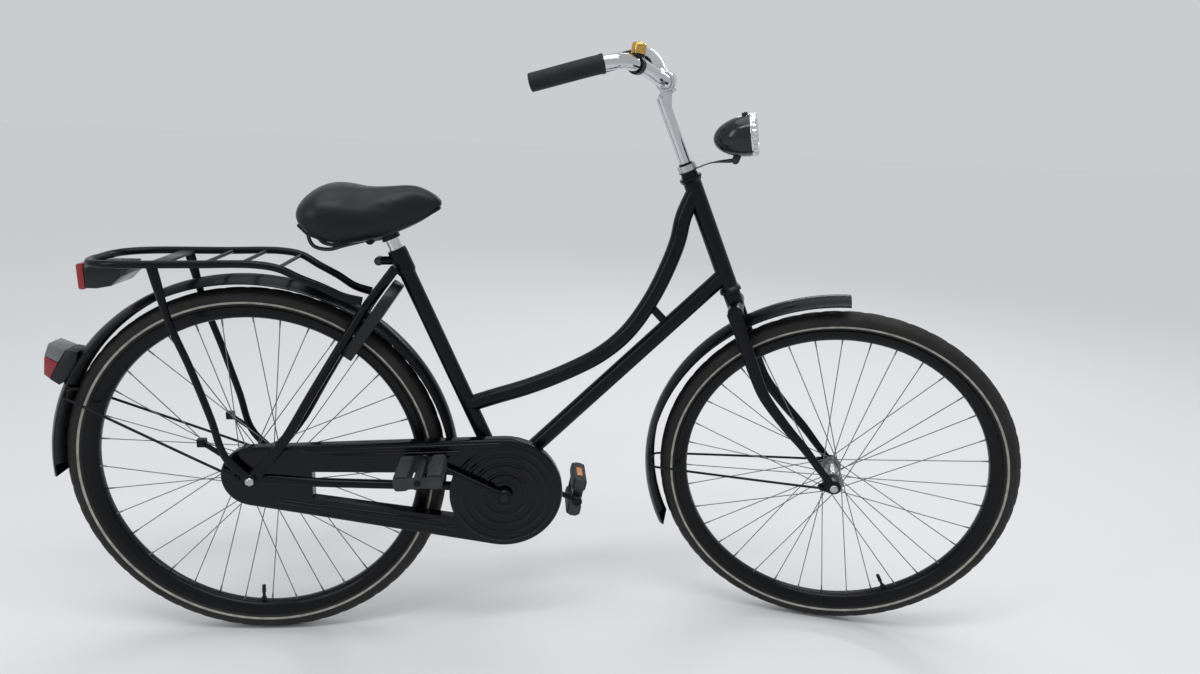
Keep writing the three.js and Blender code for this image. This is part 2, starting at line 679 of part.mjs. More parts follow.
function seatStayBar(side, extra) {
  const topSide = side * (SEAT_LUG_RADIUS + GAP + SEAT_STAY_RADIUS / 2);
  const tipSide = side * (stayFace - STAY_FLAT / 2);
  const path = curve(...SEAT_STAY_SHARES.map(([along, bow, spread]) => stayTop.clone()
    .lerp(rearAxle, along)
    .addScaledVector(stayForward, SEAT_STAY_BOW * bow)
    .setY(lerp(topSide, tipSide, spread))));
  const sizes = between(SEAT_STAY_SIZE_SHARES);
  return bar(path, 12, 8, (share) => sizes(share).map((size) => SEAT_STAY_RADIUS * size + extra));
}

function seatStay(side) {
  const { eye, cuts } = axleEye(SEAT_STAY_EYE, ...ordered(side * (stayFace - STAY_FLAT), side * stayFace));
  return cut(join(seatStayBar(side, 0), eye), ...cuts);
}
for (const [name, side] of SIDES) mesh(frame, `seat_stay_${name}`, seatStay(side), BLACK_PAINT);

// Sprocket, chainring, chain, crank axle and crank arms

const pitchRadius = (teeth) => CHAIN_PITCH / 2 / Math.sin(Math.PI / teeth);

function toothed(teeth) {
  const radius = pitchRadius(teeth);
  return Array.from({ length: 2 * teeth }, (_, k) => {
    const turn = (Math.PI * k) / teeth;
    const reach = k % 2 ? radius - TOOTH_HEIGHT : radius + TOOTH_HEIGHT;
    return flat(reach * Math.cos(turn), reach * Math.sin(turn));
  });
}

const toothInner = -CHAIN_LINE + TOOTH_WIDTH / 2;
const toothOuter = -CHAIN_LINE - TOOTH_WIDTH / 2;
mesh(frame, "rear_sprocket", cut(
  join(
    plate(toothed(SPROCKET_TEETH), toothOuter, toothInner),
    turned(rod(DRIVER_RADIUS, -driverEnd, -hubEnd), 16),
  ),
  turned(rod(AXLE_RADIUS + GAP, -driverEnd - OVERRUN, -hubEnd + OVERRUN), 12),
), STEEL, rearAxle);

const crankInner = caseOuter + CRANK_CLEARANCE;
const crankOuter = crankInner + CRANK_THICKNESS;
const CHAINRING_WINDOWS = 5;
const WINDOW_SHARE = 0.6;
const WINDOW_RADIUS_SHARE = 0.21;
const crankGroup = new THREE.Group();
crankGroup.position.copy(bracket);
frame.add(crankGroup);

function chainring() {
  const radius = pitchRadius(CHAINRING_TEETH);
  const windows = Array.from({ length: CHAINRING_WINDOWS }, (_, k) => {
    const turn = (2 * Math.PI * k) / CHAINRING_WINDOWS;
    const centre = flat(Math.cos(turn), Math.sin(turn)).multiplyScalar(radius * WINDOW_SHARE);
    return circle(8, radius * WINDOW_RADIUS_SHARE).map((point) => point.add(centre));
  });
  const bore = circle(14, CRANK_AXLE_RADIUS + 2 * GAP);
  return plate(toothed(CHAINRING_TEETH), toothOuter, toothInner, [...windows, bore]);
}
mesh(crankGroup, "chainring", chainring(), STEEL);
mesh(crankGroup, "crank_axle", turned(rod(CRANK_AXLE_RADIUS, -crankOuter, crankOuter), 14), STEEL);

// A channel round both toothed wheels stands for the chain's outer and inner plates
function chain() {
  const [front, rear] = [pitchRadius(CHAINRING_TEETH), pitchRadius(SPROCKET_TEETH)];
  const loop = (extra) => wrapped(bracket, front + extra, rearAxle, rear + extra, 18, 9);
  const half = CHAIN_HEIGHT / 2;
  const slot = TOOTH_WIDTH / 2 + GAP;
  const inner = -CHAIN_LINE + CHAIN_WIDTH / 2;
  const band = plate(loop(half), -CHAIN_LINE - CHAIN_WIDTH / 2, inner, [loop(-half)]);
  const teeth = plate(loop(TOOTH_HEIGHT + 3 * GAP), -CHAIN_LINE - slot, -CHAIN_LINE + slot);
  return cut(band, teeth);
}
mesh(frame, "chain", chain(), DARK_STEEL);

const CRANK_ROOT = 15;
const CRANK_TIP = 11;
const SPINDLE_RADIUS = 6;
const PEDAL_CLEARANCE = 8;
const pedalInner = crankOuter + PEDAL_CLEARANCE;
const pedalOuter = pedalInner + PEDAL_LENGTH;

function crankArm(side) {
  const [low, high] = ordered(side * crankInner, side * crankOuter);
  const arm = plate(wrapped(at(0, 0, 0), CRANK_ROOT, at(CRANK_LENGTH, 0, 0), CRANK_TIP, 10, 8), low, high);
  const seat = side * (crankOuter - CRANK_THICKNESS / 2);
  const spindle = turned(rod(SPINDLE_RADIUS, seat, side * pedalOuter), 12)
    .translate(CRANK_LENGTH, 0, 0);
  const bore = turned(rod(outside(CRANK_AXLE_RADIUS + GAP, 14), low - OVERRUN, high + OVERRUN), 14);
  return cut(join(arm, spindle), bore);
}

// Pedals: a frame with its bearing sleeve, end plates and two rods, and a rubber block on each rod

const PEDAL_PLATE = 2;
const PEDAL_PLATE_HEIGHT = 22;
const PEDAL_CORNER = 6;
const PEDAL_SLEEVE_RADIUS = 9;
const PEDAL_ROD_RADIUS = 3;
const pedalRodPlace = PEDAL_WIDTH / 2 - PEDAL_BLOCK_WIDTH / 2;

function pedal(parent, name, side) {
  const [inner, outer] = [side * pedalInner, side * pedalOuter];
  const step = side * PEDAL_PLATE;
  const outline = rounded(PEDAL_WIDTH, PEDAL_PLATE_HEIGHT, PEDAL_CORNER);
  const places = [["front", pedalRodPlace], ["rear", -pedalRodPlace]];
  const cage = cut(
    join(
      plate(outline, ...ordered(inner, inner + step)),
      plate(outline, ...ordered(outer - step, outer)),
      turned(rod(PEDAL_SLEEVE_RADIUS, inner, outer), 12),
      ...places.map(([, x]) => turned(rod(PEDAL_ROD_RADIUS, inner, outer), 8).translate(x, 0, 0)),
    ),
    turned(rod(outside(SPINDLE_RADIUS + GAP, 12), inner - side * OVERRUN, outer + side * OVERRUN), 12),
  );
  mesh(parent, `${name}_frame`, cage, DARK_STEEL);
  const block = rounded(PEDAL_BLOCK_WIDTH, PEDAL_BLOCK_HEIGHT, PEDAL_CORNER);
  const [low, high] = ordered(inner + step + side * GAP, outer - step - side * GAP);
  for (const [end, x] of places) {
    const rubber = plate(block, low, high, [circle(8, outside(PEDAL_ROD_RADIUS + GAP, 8))]);
    mesh(parent, `${name}_block_${end}`, rubber, RUBBER, at(x, 0, 0));
  }
}

const pedalTilts = { right: RIGHT_PEDAL_TILT, left: LEFT_PEDAL_TILT };
for (const [name, side] of SIDES) {
  const angle = name === "right" ? CRANK_ANGLE : CRANK_ANGLE - STRAIGHT;
  const arm = mesh(crankGroup, `crank_arm_${name}`, crankArm(side), BLACK_PAINT);
  arm.rotation.y = -radians(angle);
  const pedalGroup = new THREE.Group();
  pedalGroup.position.copy(polar(CRANK_LENGTH, angle));
  pedalGroup.rotation.y = -radians(pedalTilts[name]);
  crankGroup.add(pedalGroup);
  pedal(pedalGroup, `pedal_${name}`, side);
}

// Chain case: two trays that face each other, with a window between the runs, and a rear cap

const CASE_WINDOW_LEFT = 110;
const CASE_WINDOW_TOP = 13;
const CASE_WINDOW_FOOT = 43;
const CASE_WINDOW_RADIUS = 107;
const CASE_WINDOW_ANGLES = [156, 209];
const CASE_AXLE_HOLE = 20;
const CASE_SLOT_TOP = 12;
const CASE_SLOT_FOOT = 24;
const CASE_SLOT_ANGLES = [80, 280];
const CASE_CRANK_HOLE = 15;
const CASE_SHELL_HOLE = 19;
const CASE_CAP_EDGE = 58;
const CASE_STAY_SLOT = 15;

function windowOutline(wall) {
  const left = CASE_WINDOW_LEFT - wall;
  const top = WHEEL_RADIUS + CASE_WINDOW_TOP + wall;
  const foot = WHEEL_RADIUS - CASE_WINDOW_FOOT - wall;
  const [high, low] = CASE_WINDOW_ANGLES;
  const end = arc(bracket.x, bracket.z, CASE_WINDOW_RADIUS - wall, low, high, 8);
  end[end.length - 1].y = top;
  end[0].y -= wall;
  return [flat(left, top), flat(left, foot), ...end];
}

function caseTray(low, high, openHigh) {
  const outline = (inset) =>
    wrapped(bracket, CASE_FRONT_RADIUS - inset, rearAxle, CASE_REAR_RADIUS - inset, 24, 12);
  const room = openHigh
    ? plate(outline(CASE_WALL), low + CASE_WALL, high + OVERRUN)
    : plate(outline(CASE_WALL), low - OVERRUN, high - CASE_WALL);
  return cut(plate(outline(0), low, high), room);
}

// The slot for the chain stay and the dropout, from the window back round the axle
function axleSlot() {
  const hole = arc(0, WHEEL_RADIUS, CASE_AXLE_HOLE, ...CASE_SLOT_ANGLES, 8);
  const end = CASE_WINDOW_LEFT + OVERRUN;
  const [top, foot] = [WHEEL_RADIUS + CASE_SLOT_TOP, WHEEL_RADIUS - CASE_SLOT_FOOT];
  const outline = [flat(end, top), ...hole, flat(end, foot)];
  return plate(outline, -2 * caseOuter, 0);
}

function staySlot() {
  const from = at(CASE_WINDOW_LEFT + CASE_WINDOW_RADIUS, 0, bracket.z + CASE_STAY_SLOT);
  return plate(wrapped(bracket, CASE_SHELL_HOLE, from, CASE_STAY_SLOT, 12, 6), -2 * caseOuter, 0);
}

const caseSplit = (caseInner + caseOuter) / 2;
const windowHole = () => plate(windowOutline(0), -2 * caseOuter, 0);
const crankHole = turned(rod(CASE_CRANK_HOLE, -2 * caseOuter, 0), 16).translate(bracket.x, 0, bracket.z);
const outerTray = cut(
  join(
    caseTray(-caseOuter, -caseSplit - GAP / 2, true),
    plate(windowOutline(CASE_WALL), -caseOuter, -caseInner - CASE_WALL - GAP),
  ),
  windowHole(), axleSlot(), crankHole, chainStayBar(-1, 2 * GAP),
);
const innerTray = cut(
  caseTray(-caseSplit + GAP / 2, -caseInner, false), windowHole(), axleSlot(), staySlot());
const slice = (from, to) => plate([
  flat(from, 0), flat(to, 0), flat(to, 2 * WHEEL_RADIUS), flat(from, 2 * WHEEL_RADIUS),
], -2 * caseOuter, 0);
mesh(frame, "chain_case_outer", common(outerTray, slice(CASE_CAP_EDGE + GAP, WHEELBASE)), GLOSS_BLACK);
mesh(frame, "chain_case_rear_cap", common(outerTray, slice(-WHEELBASE, CASE_CAP_EDGE)), GLOSS_BLACK);
mesh(frame, "chain_case_inner", innerTray, GLOSS_BLACK);

// Fenders and their wire stays

const FENDER_STEPS = 24;
const REAR_FENDER_ANGLES = [3, 182];
const FRONT_FENDER_ANGLES = [93, 206];
const FENDER_STATION_SHARES = [-1, -0.6, 0, 0.6, 1];

function fenderSection() {
  const half = FENDER_WIDTH / 2;
  const outer = FENDER_STATION_SHARES.map((share) => [share * half, -FENDER_DROP * share * share]);
  const inner = FENDER_STATION_SHARES.map((share) =>
    [share * (half - FENDER_WALL), -FENDER_WALL - (FENDER_DROP - FENDER_WALL) * share * share]);
  return [...outer, ...inner.reverse()];
}
const fender = (radius, [from, to], steps) => around(fenderSection(), radius, from, to, steps);
mesh(frame, "rear_fender", fender(REAR_FENDER_RADIUS, REAR_FENDER_ANGLES, FENDER_STEPS),
  BLACK_PAINT, rearAxle);
mesh(steered, "front_fender", fender(
  FRONT_FENDER_RADIUS, FRONT_FENDER_ANGLES.map((degrees) => degrees - HEAD_TILT), 16),
BLACK_PAINT, at(FORK_RAKE, 0, 0));

// A wire from both dropouts to the fender, which it crosses on the inside
const STAY_DIP = 20;
const STAY_EDGE_OUT = 3;
const STAY_SHOULDER_SHARE = 0.6;
const REAR_STAY_ANGLE = 156.5;
const FRONT_STAY_ANGLE = 183.5;
function fenderStay(fenderRadius, degrees, foot) {
  const half = FENDER_WIDTH / 2;
  const under = (radius) => inside(radius, 2 * FENDER_STEPS) - FENDER_STAY_RADIUS;
  const edge = under(fenderRadius - FENDER_DROP) - FENDER_WALL - 2 * GAP;
  const crown = under(fenderRadius - FENDER_WALL) - 3 * GAP;
  const side = (sign) => [
    at(foot.x, sign * foot.y, foot.z),
    at(foot.x, sign * foot.y, foot.z).add(polar(2 * DROPOUT_LOBE_RADIUS, degrees)),
    polar(edge - STAY_DIP, degrees, sign * (half + STAY_EDGE_OUT)),
    polar(edge, degrees, sign * half),
    polar(lerp(edge, crown, 1 / 2), degrees, sign * half * STAY_SHOULDER_SHARE),
  ];
  const points = [...side(-1), polar(crown, degrees), ...side(1).reverse()];
  const wire = () => [FENDER_STAY_RADIUS, FENDER_STAY_RADIUS];
  return bar(curve(...points), 26, 6, wire, polar(1, degrees + RIGHT));
}
const rearLobe = at(-DROPOUT_LOBE_REACH, rearDropoutFace + GAP + FENDER_STAY_RADIUS, DROPOUT_LOBE_RISE);
mesh(frame, "rear_fender_stay", fenderStay(REAR_FENDER_RADIUS, REAR_STAY_ANGLE, rearLobe),
  BLACK_PAINT, rearAxle);
const frontLobe = polar(DROPOUT_LOBE_REACH, FRONT_STAY_ANGLE - HEAD_TILT,
  frontDropoutFace + GAP + FENDER_STAY_RADIUS);
mesh(steered, "front_fender_stay",
  fenderStay(FRONT_FENDER_RADIUS, FRONT_STAY_ANGLE - HEAD_TILT, frontLobe),
  BLACK_PAINT, at(FORK_RAKE, 0, 0));

// Fork: steerer, crown, blades that bend forward, and dropout plates

const CROWN_HEIGHT = 28;
const CROWN_DEPTH = 30;
const CROWN_BOSS_RADIUS = 10;
const CROWN_BOSS_LENGTH = 36;
const CROWN_RACE_RADIUS = 17;
const CROWN_RACE_HEIGHT = 6;
const BLADE_TOP_SPREAD = 39;
const BLADE_SHARES = [
  [0, -0.04, 0], [0.18, -0.04, 0.25], [0.38, -0.04, 0.5], [0.45, 0, 0.6],
  [0.63, 0.3, 0.8], [0.76, 0.58, 0.94], [0.89, 0.8, 1], [1, 1, 1],
];
const BLADE_DEPTH = 14.5;
const BLADE_WIDTH = 9.5;
const BLADE_TIP_SHARE = 0.5;
const BLADE_FLAT_SHARE = 0.94;
const CONE_RADIUS = 16;
const CONE_HEIGHT = 9;
const LOCKNUT_HEIGHT = 11;
const LOCKNUT_RADIUS = 17.5;
const LAMP_PLATE = 2.5;
const crownMiddle = FORK_LENGTH - CROWN_RACE_HEIGHT - CROWN_HEIGHT / 2;
const coneFoot = headTubeTop + GAP;
const lampPlateFoot = coneFoot + CONE_HEIGHT + GAP;
const locknutFoot = lampPlateFoot + LAMP_PLATE + GAP;
const steererTop = locknutFoot + LOCKNUT_HEIGHT;

function fork() {
  const steerer = turnedUp(rod(STEERER_RADIUS, crownMiddle, steererTop), 16);
  const hollow = turnedUp(rod(QUILL_RADIUS + GAP, FORK_LENGTH, steererTop + OVERRUN), 16);
  const race = turnedUp(rod(CROWN_RACE_RADIUS, crownMiddle, headTubeFoot - GAP), 18);
  const cone = turnedUp(rod(CONE_RADIUS, coneFoot, coneFoot + CONE_HEIGHT), 16);
  const crownEnd = BLADE_TOP_SPREAD + BLADE_WIDTH;
  const crown = bar(line(at(0, -crownEnd, crownMiddle), at(0, crownEnd, crownMiddle)), 1, 12,
    () => [CROWN_DEPTH / 2, CROWN_HEIGHT / 2], at(1, 0, 0));
  const boss = turnedUp(rod(CROWN_BOSS_RADIUS, crownMiddle - CROWN_BOSS_LENGTH, crownMiddle), 12);
  const fenderRoom = turned(rod(outside(FRONT_FENDER_RADIUS + GAP, 40), -crownEnd, crownEnd), 40)
    .translate(FORK_RAKE, 0, 0);
  const head = cut(join(crown, boss), fenderRoom);
  const tipSpread = frontDropout + DROPOUT_THICKNESS / 2;
  const lobe = frontLobe.clone().setY(0).add(at(FORK_RAKE, 0, 0));
  const ends = SIDES.flatMap(([, side]) => {
    const path = curve(...BLADE_SHARES.map(([down, forward, spread]) => at(
      FORK_RAKE * forward, side * lerp(BLADE_TOP_SPREAD, tipSpread, spread), crownMiddle * (1 - down))));
    const blade = bar(path, 12, 8, (share) => {
      const size = lerp(1, BLADE_TIP_SHARE, share);
      const width = share > BLADE_FLAT_SHARE ? DROPOUT_THICKNESS / 2 : BLADE_WIDTH * size;
      return [width, BLADE_DEPTH * size];
    });
    const outline = wrapped(at(FORK_RAKE, 0, 0), DROPOUT_RADIUS, lobe, DROPOUT_LOBE_RADIUS, 8, 6);
    return [blade, plate(outline, ...ordered(side * frontDropout, side * frontDropoutFace))];
  });
  const onAxle = (geometry) => geometry.translate(FORK_RAKE, 0, 0);
  const bore = onAxle(turned(rod(AXLE_RADIUS + GAP, -2 * frontDropout, 2 * frontDropout), 12));
  const trims = [[frontDropout - OVERRUN, frontDropout], [frontDropoutFace, frontDropoutFace + OVERRUN]]
    .flatMap(([from, to]) => SIDES.map(([, side]) =>
      onAxle(turned(rod(DROPOUT_RADIUS, side * from, side * to), 16))));
  return cut(join(steerer, race, cone, head, ...ends), hollow, bore, ...trims);
}
mesh(steered, "fork", fork(), BLACK_PAINT);
mesh(steered, "headset_locknut",
  turnedUp(ring(LOCKNUT_RADIUS, outside(STEERER_RADIUS + GAP, 16), locknutFoot, steererTop), 16), STEEL);

// Lamp bracket under the locknut, and the headlamp that tilts on it

const LAMP_PIVOT_FORWARD = 88;
const LAMP_PIVOT_DROP = 10;
const LAMP_DIP = 12.9;
const LAMP_EYE_RADIUS = 7;
const LAMP_EYE_THICKNESS = 4;
const LAMP_ARM_WIDTH = 14;
const LAMP_ARM_SIZE_SHARES = [[0, 1, 0.5], [0.45, 1, 0.5], [0.85, 0.3, 1.6], [1, 0.25, 1.6]];
const LAMP_AHEAD = 44;
const LAMP_ABOVE = 41;
const LAMP_WALL = 1.8;
const LAMP_RIM_LENGTH = 12;
const LAMP_RIM_OUT = 1.5;
const LAMP_RIM_FACE = 5;
const LAMP_EAR = 2.5;
const LAMP_EAR_LEAN = 8;
const LAMP_BOLT_RADIUS = 2.5;
const LAMP_BOLT_HEAD = 5;
const LAMP_BOLT_HEAD_HEIGHT = 3;
const LAMP_SWITCH_RADIUS = 5;
const LAMP_SWITCH_HEIGHT = 5;
const LAMP_SWITCH_SHARE = 0.86;
const LAMP_SHARES = [
  [0, 0], [0.4, 0.045], [0.65, 0.15], [0.84, 0.32], [0.96, 0.6], [1, 1],
];
const LENS_SET_BACK = 7;
const LENS_EDGE = 2;
const LENS_DOME = 4;

const lampPivot = at(LAMP_PIVOT_FORWARD, 0, lampPlateFoot - LAMP_PIVOT_DROP);
const lampEyeHalf = LAMP_EYE_THICKNESS / 2;
const boltEnd = lampEyeHalf + 2 * GAP + LAMP_EAR;

function lampBracket() {
  const middle = lampPlateFoot + LAMP_PLATE / 2;
  const path = curve(at(QUILL_RADIUS, 0, middle), at(LOCKNUT_RADIUS, 0, middle),
    at(LAMP_PIVOT_FORWARD / 2, 0, middle), lampPivot);
  const sizes = between(LAMP_ARM_SIZE_SHARES);
  const arm = bar(path, 12, 8, (share) => {
    const [across, up] = sizes(share);
    return [(LAMP_ARM_WIDTH / 2) * across, LAMP_PLATE * up];
  });
  const eye = turned(rod(LAMP_EYE_RADIUS, -lampEyeHalf, lampEyeHalf), 14);
  const boltTip = boltEnd + LAMP_BOLT_HEAD_HEIGHT;
  const bolt = turned(rod(LAMP_BOLT_RADIUS, -boltTip, boltTip), 10);
  const heads = SIDES.map(([, side]) => turned(
    rod(LAMP_BOLT_HEAD, side * boltEnd, side * boltTip), 6));
  return cut(
    join(
      turnedUp(rod(LOCKNUT_RADIUS, lampPlateFoot, lampPlateFoot + LAMP_PLATE), 16),
      arm,
      join(eye, bolt, ...heads).translate(lampPivot.x, 0, lampPivot.z),
    ),
    turnedUp(rod(outside(STEERER_RADIUS + GAP, 16), lampPlateFoot - OVERRUN, locknutFoot + OVERRUN), 16),
  );
}
mesh(steered, "lamp_bracket", lampBracket(), DARK_STEEL);

const lampGroup = new THREE.Group();
lampGroup.position.copy(lampPivot);
lampGroup.rotation.y = radians(LAMP_DIP);
steered.add(lampGroup);

const lampBack = LAMP_AHEAD - LAMP_LENGTH;
const lampShellEnd = LAMP_AHEAD - LAMP_RIM_LENGTH - GAP;
const bullet = (inset) => LAMP_SHARES.map(([out, along]) =>
  [(LAMP_RADIUS - inset) * out, lerp(lampBack + inset, lampShellEnd, along)]);
const onLamp = (geometry) => geometry.translate(0, 0, LAMP_ABOVE);

function lampShell() {
  const shell = onLamp(turnedForward([...bullet(0), ...bullet(LAMP_WALL).reverse()], 16));
  const room = onLamp(turnedForward([...bullet(LAMP_WALL), [0, lampShellEnd]], 16));
  const earTop = at(LAMP_EAR_LEAN, 0, LAMP_ABOVE - LAMP_RADIUS / 2);
  const outline = wrapped(at(0, 0, 0), LAMP_EYE_RADIUS, earTop, LAMP_EYE_RADIUS, 8, 8);
  const earInner = lampEyeHalf + GAP;
  const ears = SIDES.map(([, side]) =>
    plate(outline, ...ordered(side * earInner, side * (earInner + LAMP_EAR))));
  const switchPlace = lerp(lampBack, lampShellEnd, LAMP_SWITCH_SHARE);
  const button = turnedUp(
    rod(LAMP_SWITCH_RADIUS, LAMP_ABOVE + LAMP_RADIUS / 2, LAMP_ABOVE + LAMP_RADIUS + LAMP_SWITCH_HEIGHT), 12)
    .translate(switchPlace, 0, 0);
  const eyeRoom = turned(rod(LAMP_EYE_RADIUS + 2 * GAP, -earInner, earInner), 14);
  const boltRoom = turned(rod(outside(LAMP_BOLT_RADIUS + GAP, 10), -LAMP_RADIUS, LAMP_RADIUS), 10);
  return cut(join(shell, cut(join(...ears), room), cut(button, room)), boltRoom, eyeRoom);
}
mesh(lampGroup, "headlamp_shell", lampShell(), BLACK_PLASTIC);
const bezel = ring(
  LAMP_RADIUS + LAMP_RIM_OUT, LAMP_RADIUS - LAMP_RIM_FACE, LAMP_AHEAD - LAMP_RIM_LENGTH, LAMP_AHEAD);
mesh(lampGroup, "headlamp_rim", onLamp(turnedForward(bezel, 24)), CHROME);
const lensRadius = inside(LAMP_RADIUS - LAMP_RIM_FACE, 24) - GAP;
const lensBack = LAMP_AHEAD - LENS_SET_BACK;
mesh(lampGroup, "headlamp_lens", onLamp(turnedForward([
  [0, lensBack], [lensRadius, lensBack], [lensRadius, lensBack + LENS_EDGE],
  [0, lensBack + LENS_EDGE + LENS_DOME],
], 24)), CLEAR_LENS);

// Handlebar: a bar that runs from one grip forward through the stem's clamp and back to the other

const BAR_SHARES = [
  [0, 0, 0], [0.1, 0.01, 0], [0.221, 0.2, 0.05], [0.421, 0.4, 0.084], [0.621, 0.5625, 0.129],
  [0.779, 0.7, 0.191], [0.9, 0.78, 0.3], [1, 1, 1],
];
const GRIP_CAP = 4;
const STEM_CLAMP_RADIUS = 18;
const STEM_CLAMP_WIDTH = 36;
const STEM_DROP = 22;
const STEM_BOLT_RADIUS = 6;
const STEM_BOLT_HEIGHT = 6;
const BELL_SHARE = 0.305;
const BELL_CLAMP_WIDTH = 10;
const BELL_CLAMP_WALL = 3.5;
const BELL_BASE_RADIUS = 11;
const BELL_BASE_TOP = 17;
const BELL_RADIUS = 12.5;
const BELL_HEIGHT = 19;
const BELL_SHARES = [[0, 0], [1, 0], [1, 0.72], [0.9, 0.9], [0.6, 1], [0, 1]];

const barPoint = (side, [width, rise, sweep]) =>
  at(STEM_REACH - BAR_SWEEP * sweep, side * (BAR_WIDTH / 2) * width, BAR_PLACE + BAR_RISE * rise);
const barPath = curve(
  ...BAR_SHARES.slice(1).reverse().map((row) => barPoint(-1, row)),
  ...BAR_SHARES.map((row) => barPoint(1, row)),
);
const barTube = (radius) => bar(barPath, 38, 8, () => [radius, radius], at(0, 0, 1));
mesh(steered, "handlebar", barTube(BAR_RADIUS), CHROME);

const gripShare = GRIP_LENGTH / barPath.getLength();
const GRIP_STEPS = 8;
for (const [name, side] of SIDES) {
  const endShare = side < 0 ? 0 : 1;
  const end = barPath.getPointAt(endShare);
  const outward = barPath.getTangentAt(endShare).multiplyScalar(side);
  const grown = (length) => end.clone().addScaledVector(outward, length);
  const points = Array.from({ length: GRIP_STEPS }, (_, i) =>
    barPath.getPointAt(Math.abs(endShare - gripShare * ((i + 1) / GRIP_STEPS))));
  const grip = bar(curve(grown(GRIP_CAP + GAP), ...points), 5, 12,
    () => [GRIP_RADIUS, GRIP_RADIUS], at(0, 0, 1));
  const room = tube(line(grown(-GAP), grown(GAP)), outside(BAR_RADIUS + GAP, 8), 8);
  mesh(steered, `grip_${name}`, cut(grip, barTube(outside(BAR_RADIUS + GAP, 8)), room), RUBBER);
}

function stem() {
  const foot = BAR_PLACE - 2 * STEM_DROP;
  const clamp = at(STEM_REACH, 0, BAR_PLACE);
  const half = STEM_CLAMP_WIDTH / 2;
  const top = BAR_PLACE - STEM_DROP;
  return cut(
    join(
      turnedUp(rod(QUILL_RADIUS, steererTop - STEM_INSERT, top), 16),
      bar(line(at(0, 0, foot), clamp), 1, 12, () => [QUILL_RADIUS, QUILL_RADIUS]),
      turned(rod(STEM_CLAMP_RADIUS, -half, half), 16).translate(clamp.x, 0, clamp.z),
      turnedUp(rod(STEM_BOLT_RADIUS, foot, top + STEM_BOLT_HEIGHT), 6),
    ),
    barTube(outside(BAR_RADIUS + GAP, 8)),
  );
}
mesh(steered, "stem", stem(), CHROME);

// Bell on the right half of the bar, upright on its clamp
const bellGroup = new THREE.Group();
const bellAlong = barPath.getTangentAt(BELL_SHARE);
const bellUp = at(-headUp.x, 0, headUp.z);
bellUp.addScaledVector(bellAlong, -bellUp.dot(bellAlong)).normalize();
bellGroup.position.copy(barPath.getPointAt(BELL_SHARE));
bellGroup.quaternion.setFromUnitVectors(at(0, 0, 1), bellUp);
steered.add(bellGroup);
bellGroup.updateMatrix();
const fromBell = bellGroup.matrix.clone().invert();
const bellAxis = bellAlong.clone().transformDirection(fromBell);
const bellClamp = line(
  bellAxis.clone().multiplyScalar(-BELL_CLAMP_WIDTH / 2),
  bellAxis.clone().multiplyScalar(BELL_CLAMP_WIDTH / 2),
);
mesh(bellGroup, "bell_base", cut(
  join(
    tube(bellClamp, BAR_RADIUS + BELL_CLAMP_WALL, 16),
    turnedUp(rod(BELL_BASE_RADIUS, 0, BELL_BASE_TOP), 16),
  ),
  barTube(outside(BAR_RADIUS + GAP, 8)).applyMatrix4(fromBell),
), BLACK_PLASTIC);
mesh(bellGroup, "bell_dome", turnedUp(BELL_SHARES.map(([out, up]) =>
  [BELL_RADIUS * out, BELL_BASE_TOP + GAP + BELL_HEIGHT * up]), 16), BRASS);

// Seat post, saddle clamp, rails, base plate and cushion

const SADDLE_CLAMP_HEIGHT = 14;
const SADDLE_CLAMP_WALL = 4.5;
const CROSS_SETBACK = 34;
const CROSS_RADIUS = 8;
const CROSS_WIDTH = 58;
const RAIL_RADIUS = 3.5;
const RAIL_SPREAD = 28;
const RAIL_SHARES = [
  [0.898, 0.37, 0], [0.851, 0.31, 0.32], [0.741, 0.17, 0.66], [0.631, 0.04, 0.82], [0.486, -0.035, 0.86],
  [0.31, -0.14, 0.9], [0.2, -0.22, 0.95], [0.1, -0.17, 1], [0.066, -0.005, 1], [0.075, 0.24, 1],
];
const BASE_THICKNESS = 4;
const BASE_WIDTH_SHARE = 0.78;
// Share of the length, crest, foot and half width
const SADDLE_SHARES = [
  [0, 0.46, 0.38, 0.55], [0.03, 0.68, 0.27, 0.78], [0.1, 0.86, 0.14, 0.93], [0.2, 0.98, 0.055, 1],
  [0.33, 0.975, 0, 0.93], [0.45, 0.93, 0.035, 0.74], [0.58, 0.94, 0.11, 0.5], [0.7, 0.975, 0.23, 0.34],
  [0.8, 1, 0.35, 0.26], [0.9, 0.92, 0.485, 0.21], [0.97, 0.82, 0.6, 0.15], [1, 0.73, 0.67, 0.06],
];
// Shares of the half width and of the height from foot to crest
const SADDLE_SECTION_SHARES = [
  [0.8, 0], [0.93, 0.14], [1, 0.34], [0.98, 0.56], [0.87, 0.76], [0.66, 0.9], [0.36, 0.98], [0, 1],
];

const saddlePlace = onSeat(SEAT_TUBE_LENGTH + POST_SHOWN)
  .add(at(-SADDLE_SETBACK, 0, SADDLE_RISE));
const onSaddle = (x, z, y = 0) =>
  at(saddlePlace.x + SADDLE_LENGTH * x, y, saddlePlace.z + SADDLE_HEIGHT * z);
const postTop = onSeat(SEAT_TUBE_LENGTH + POST_SHOWN + SADDLE_CLAMP_HEIGHT / 2);
mesh(frame, "seatpost", tube(line(onSeat(postFoot), postTop), POST_RADIUS, 14), CHROME);

const railSide = (side) => RAIL_SHARES.map(([x, z, y]) => onSaddle(x, z, side * RAIL_SPREAD * y));
const railPath = curve(...railSide(-1).reverse(), ...railSide(1).slice(1));
const railWire = (radius) => bar(railPath, 32, 5, () => [radius, radius], at(0, 1, 0));

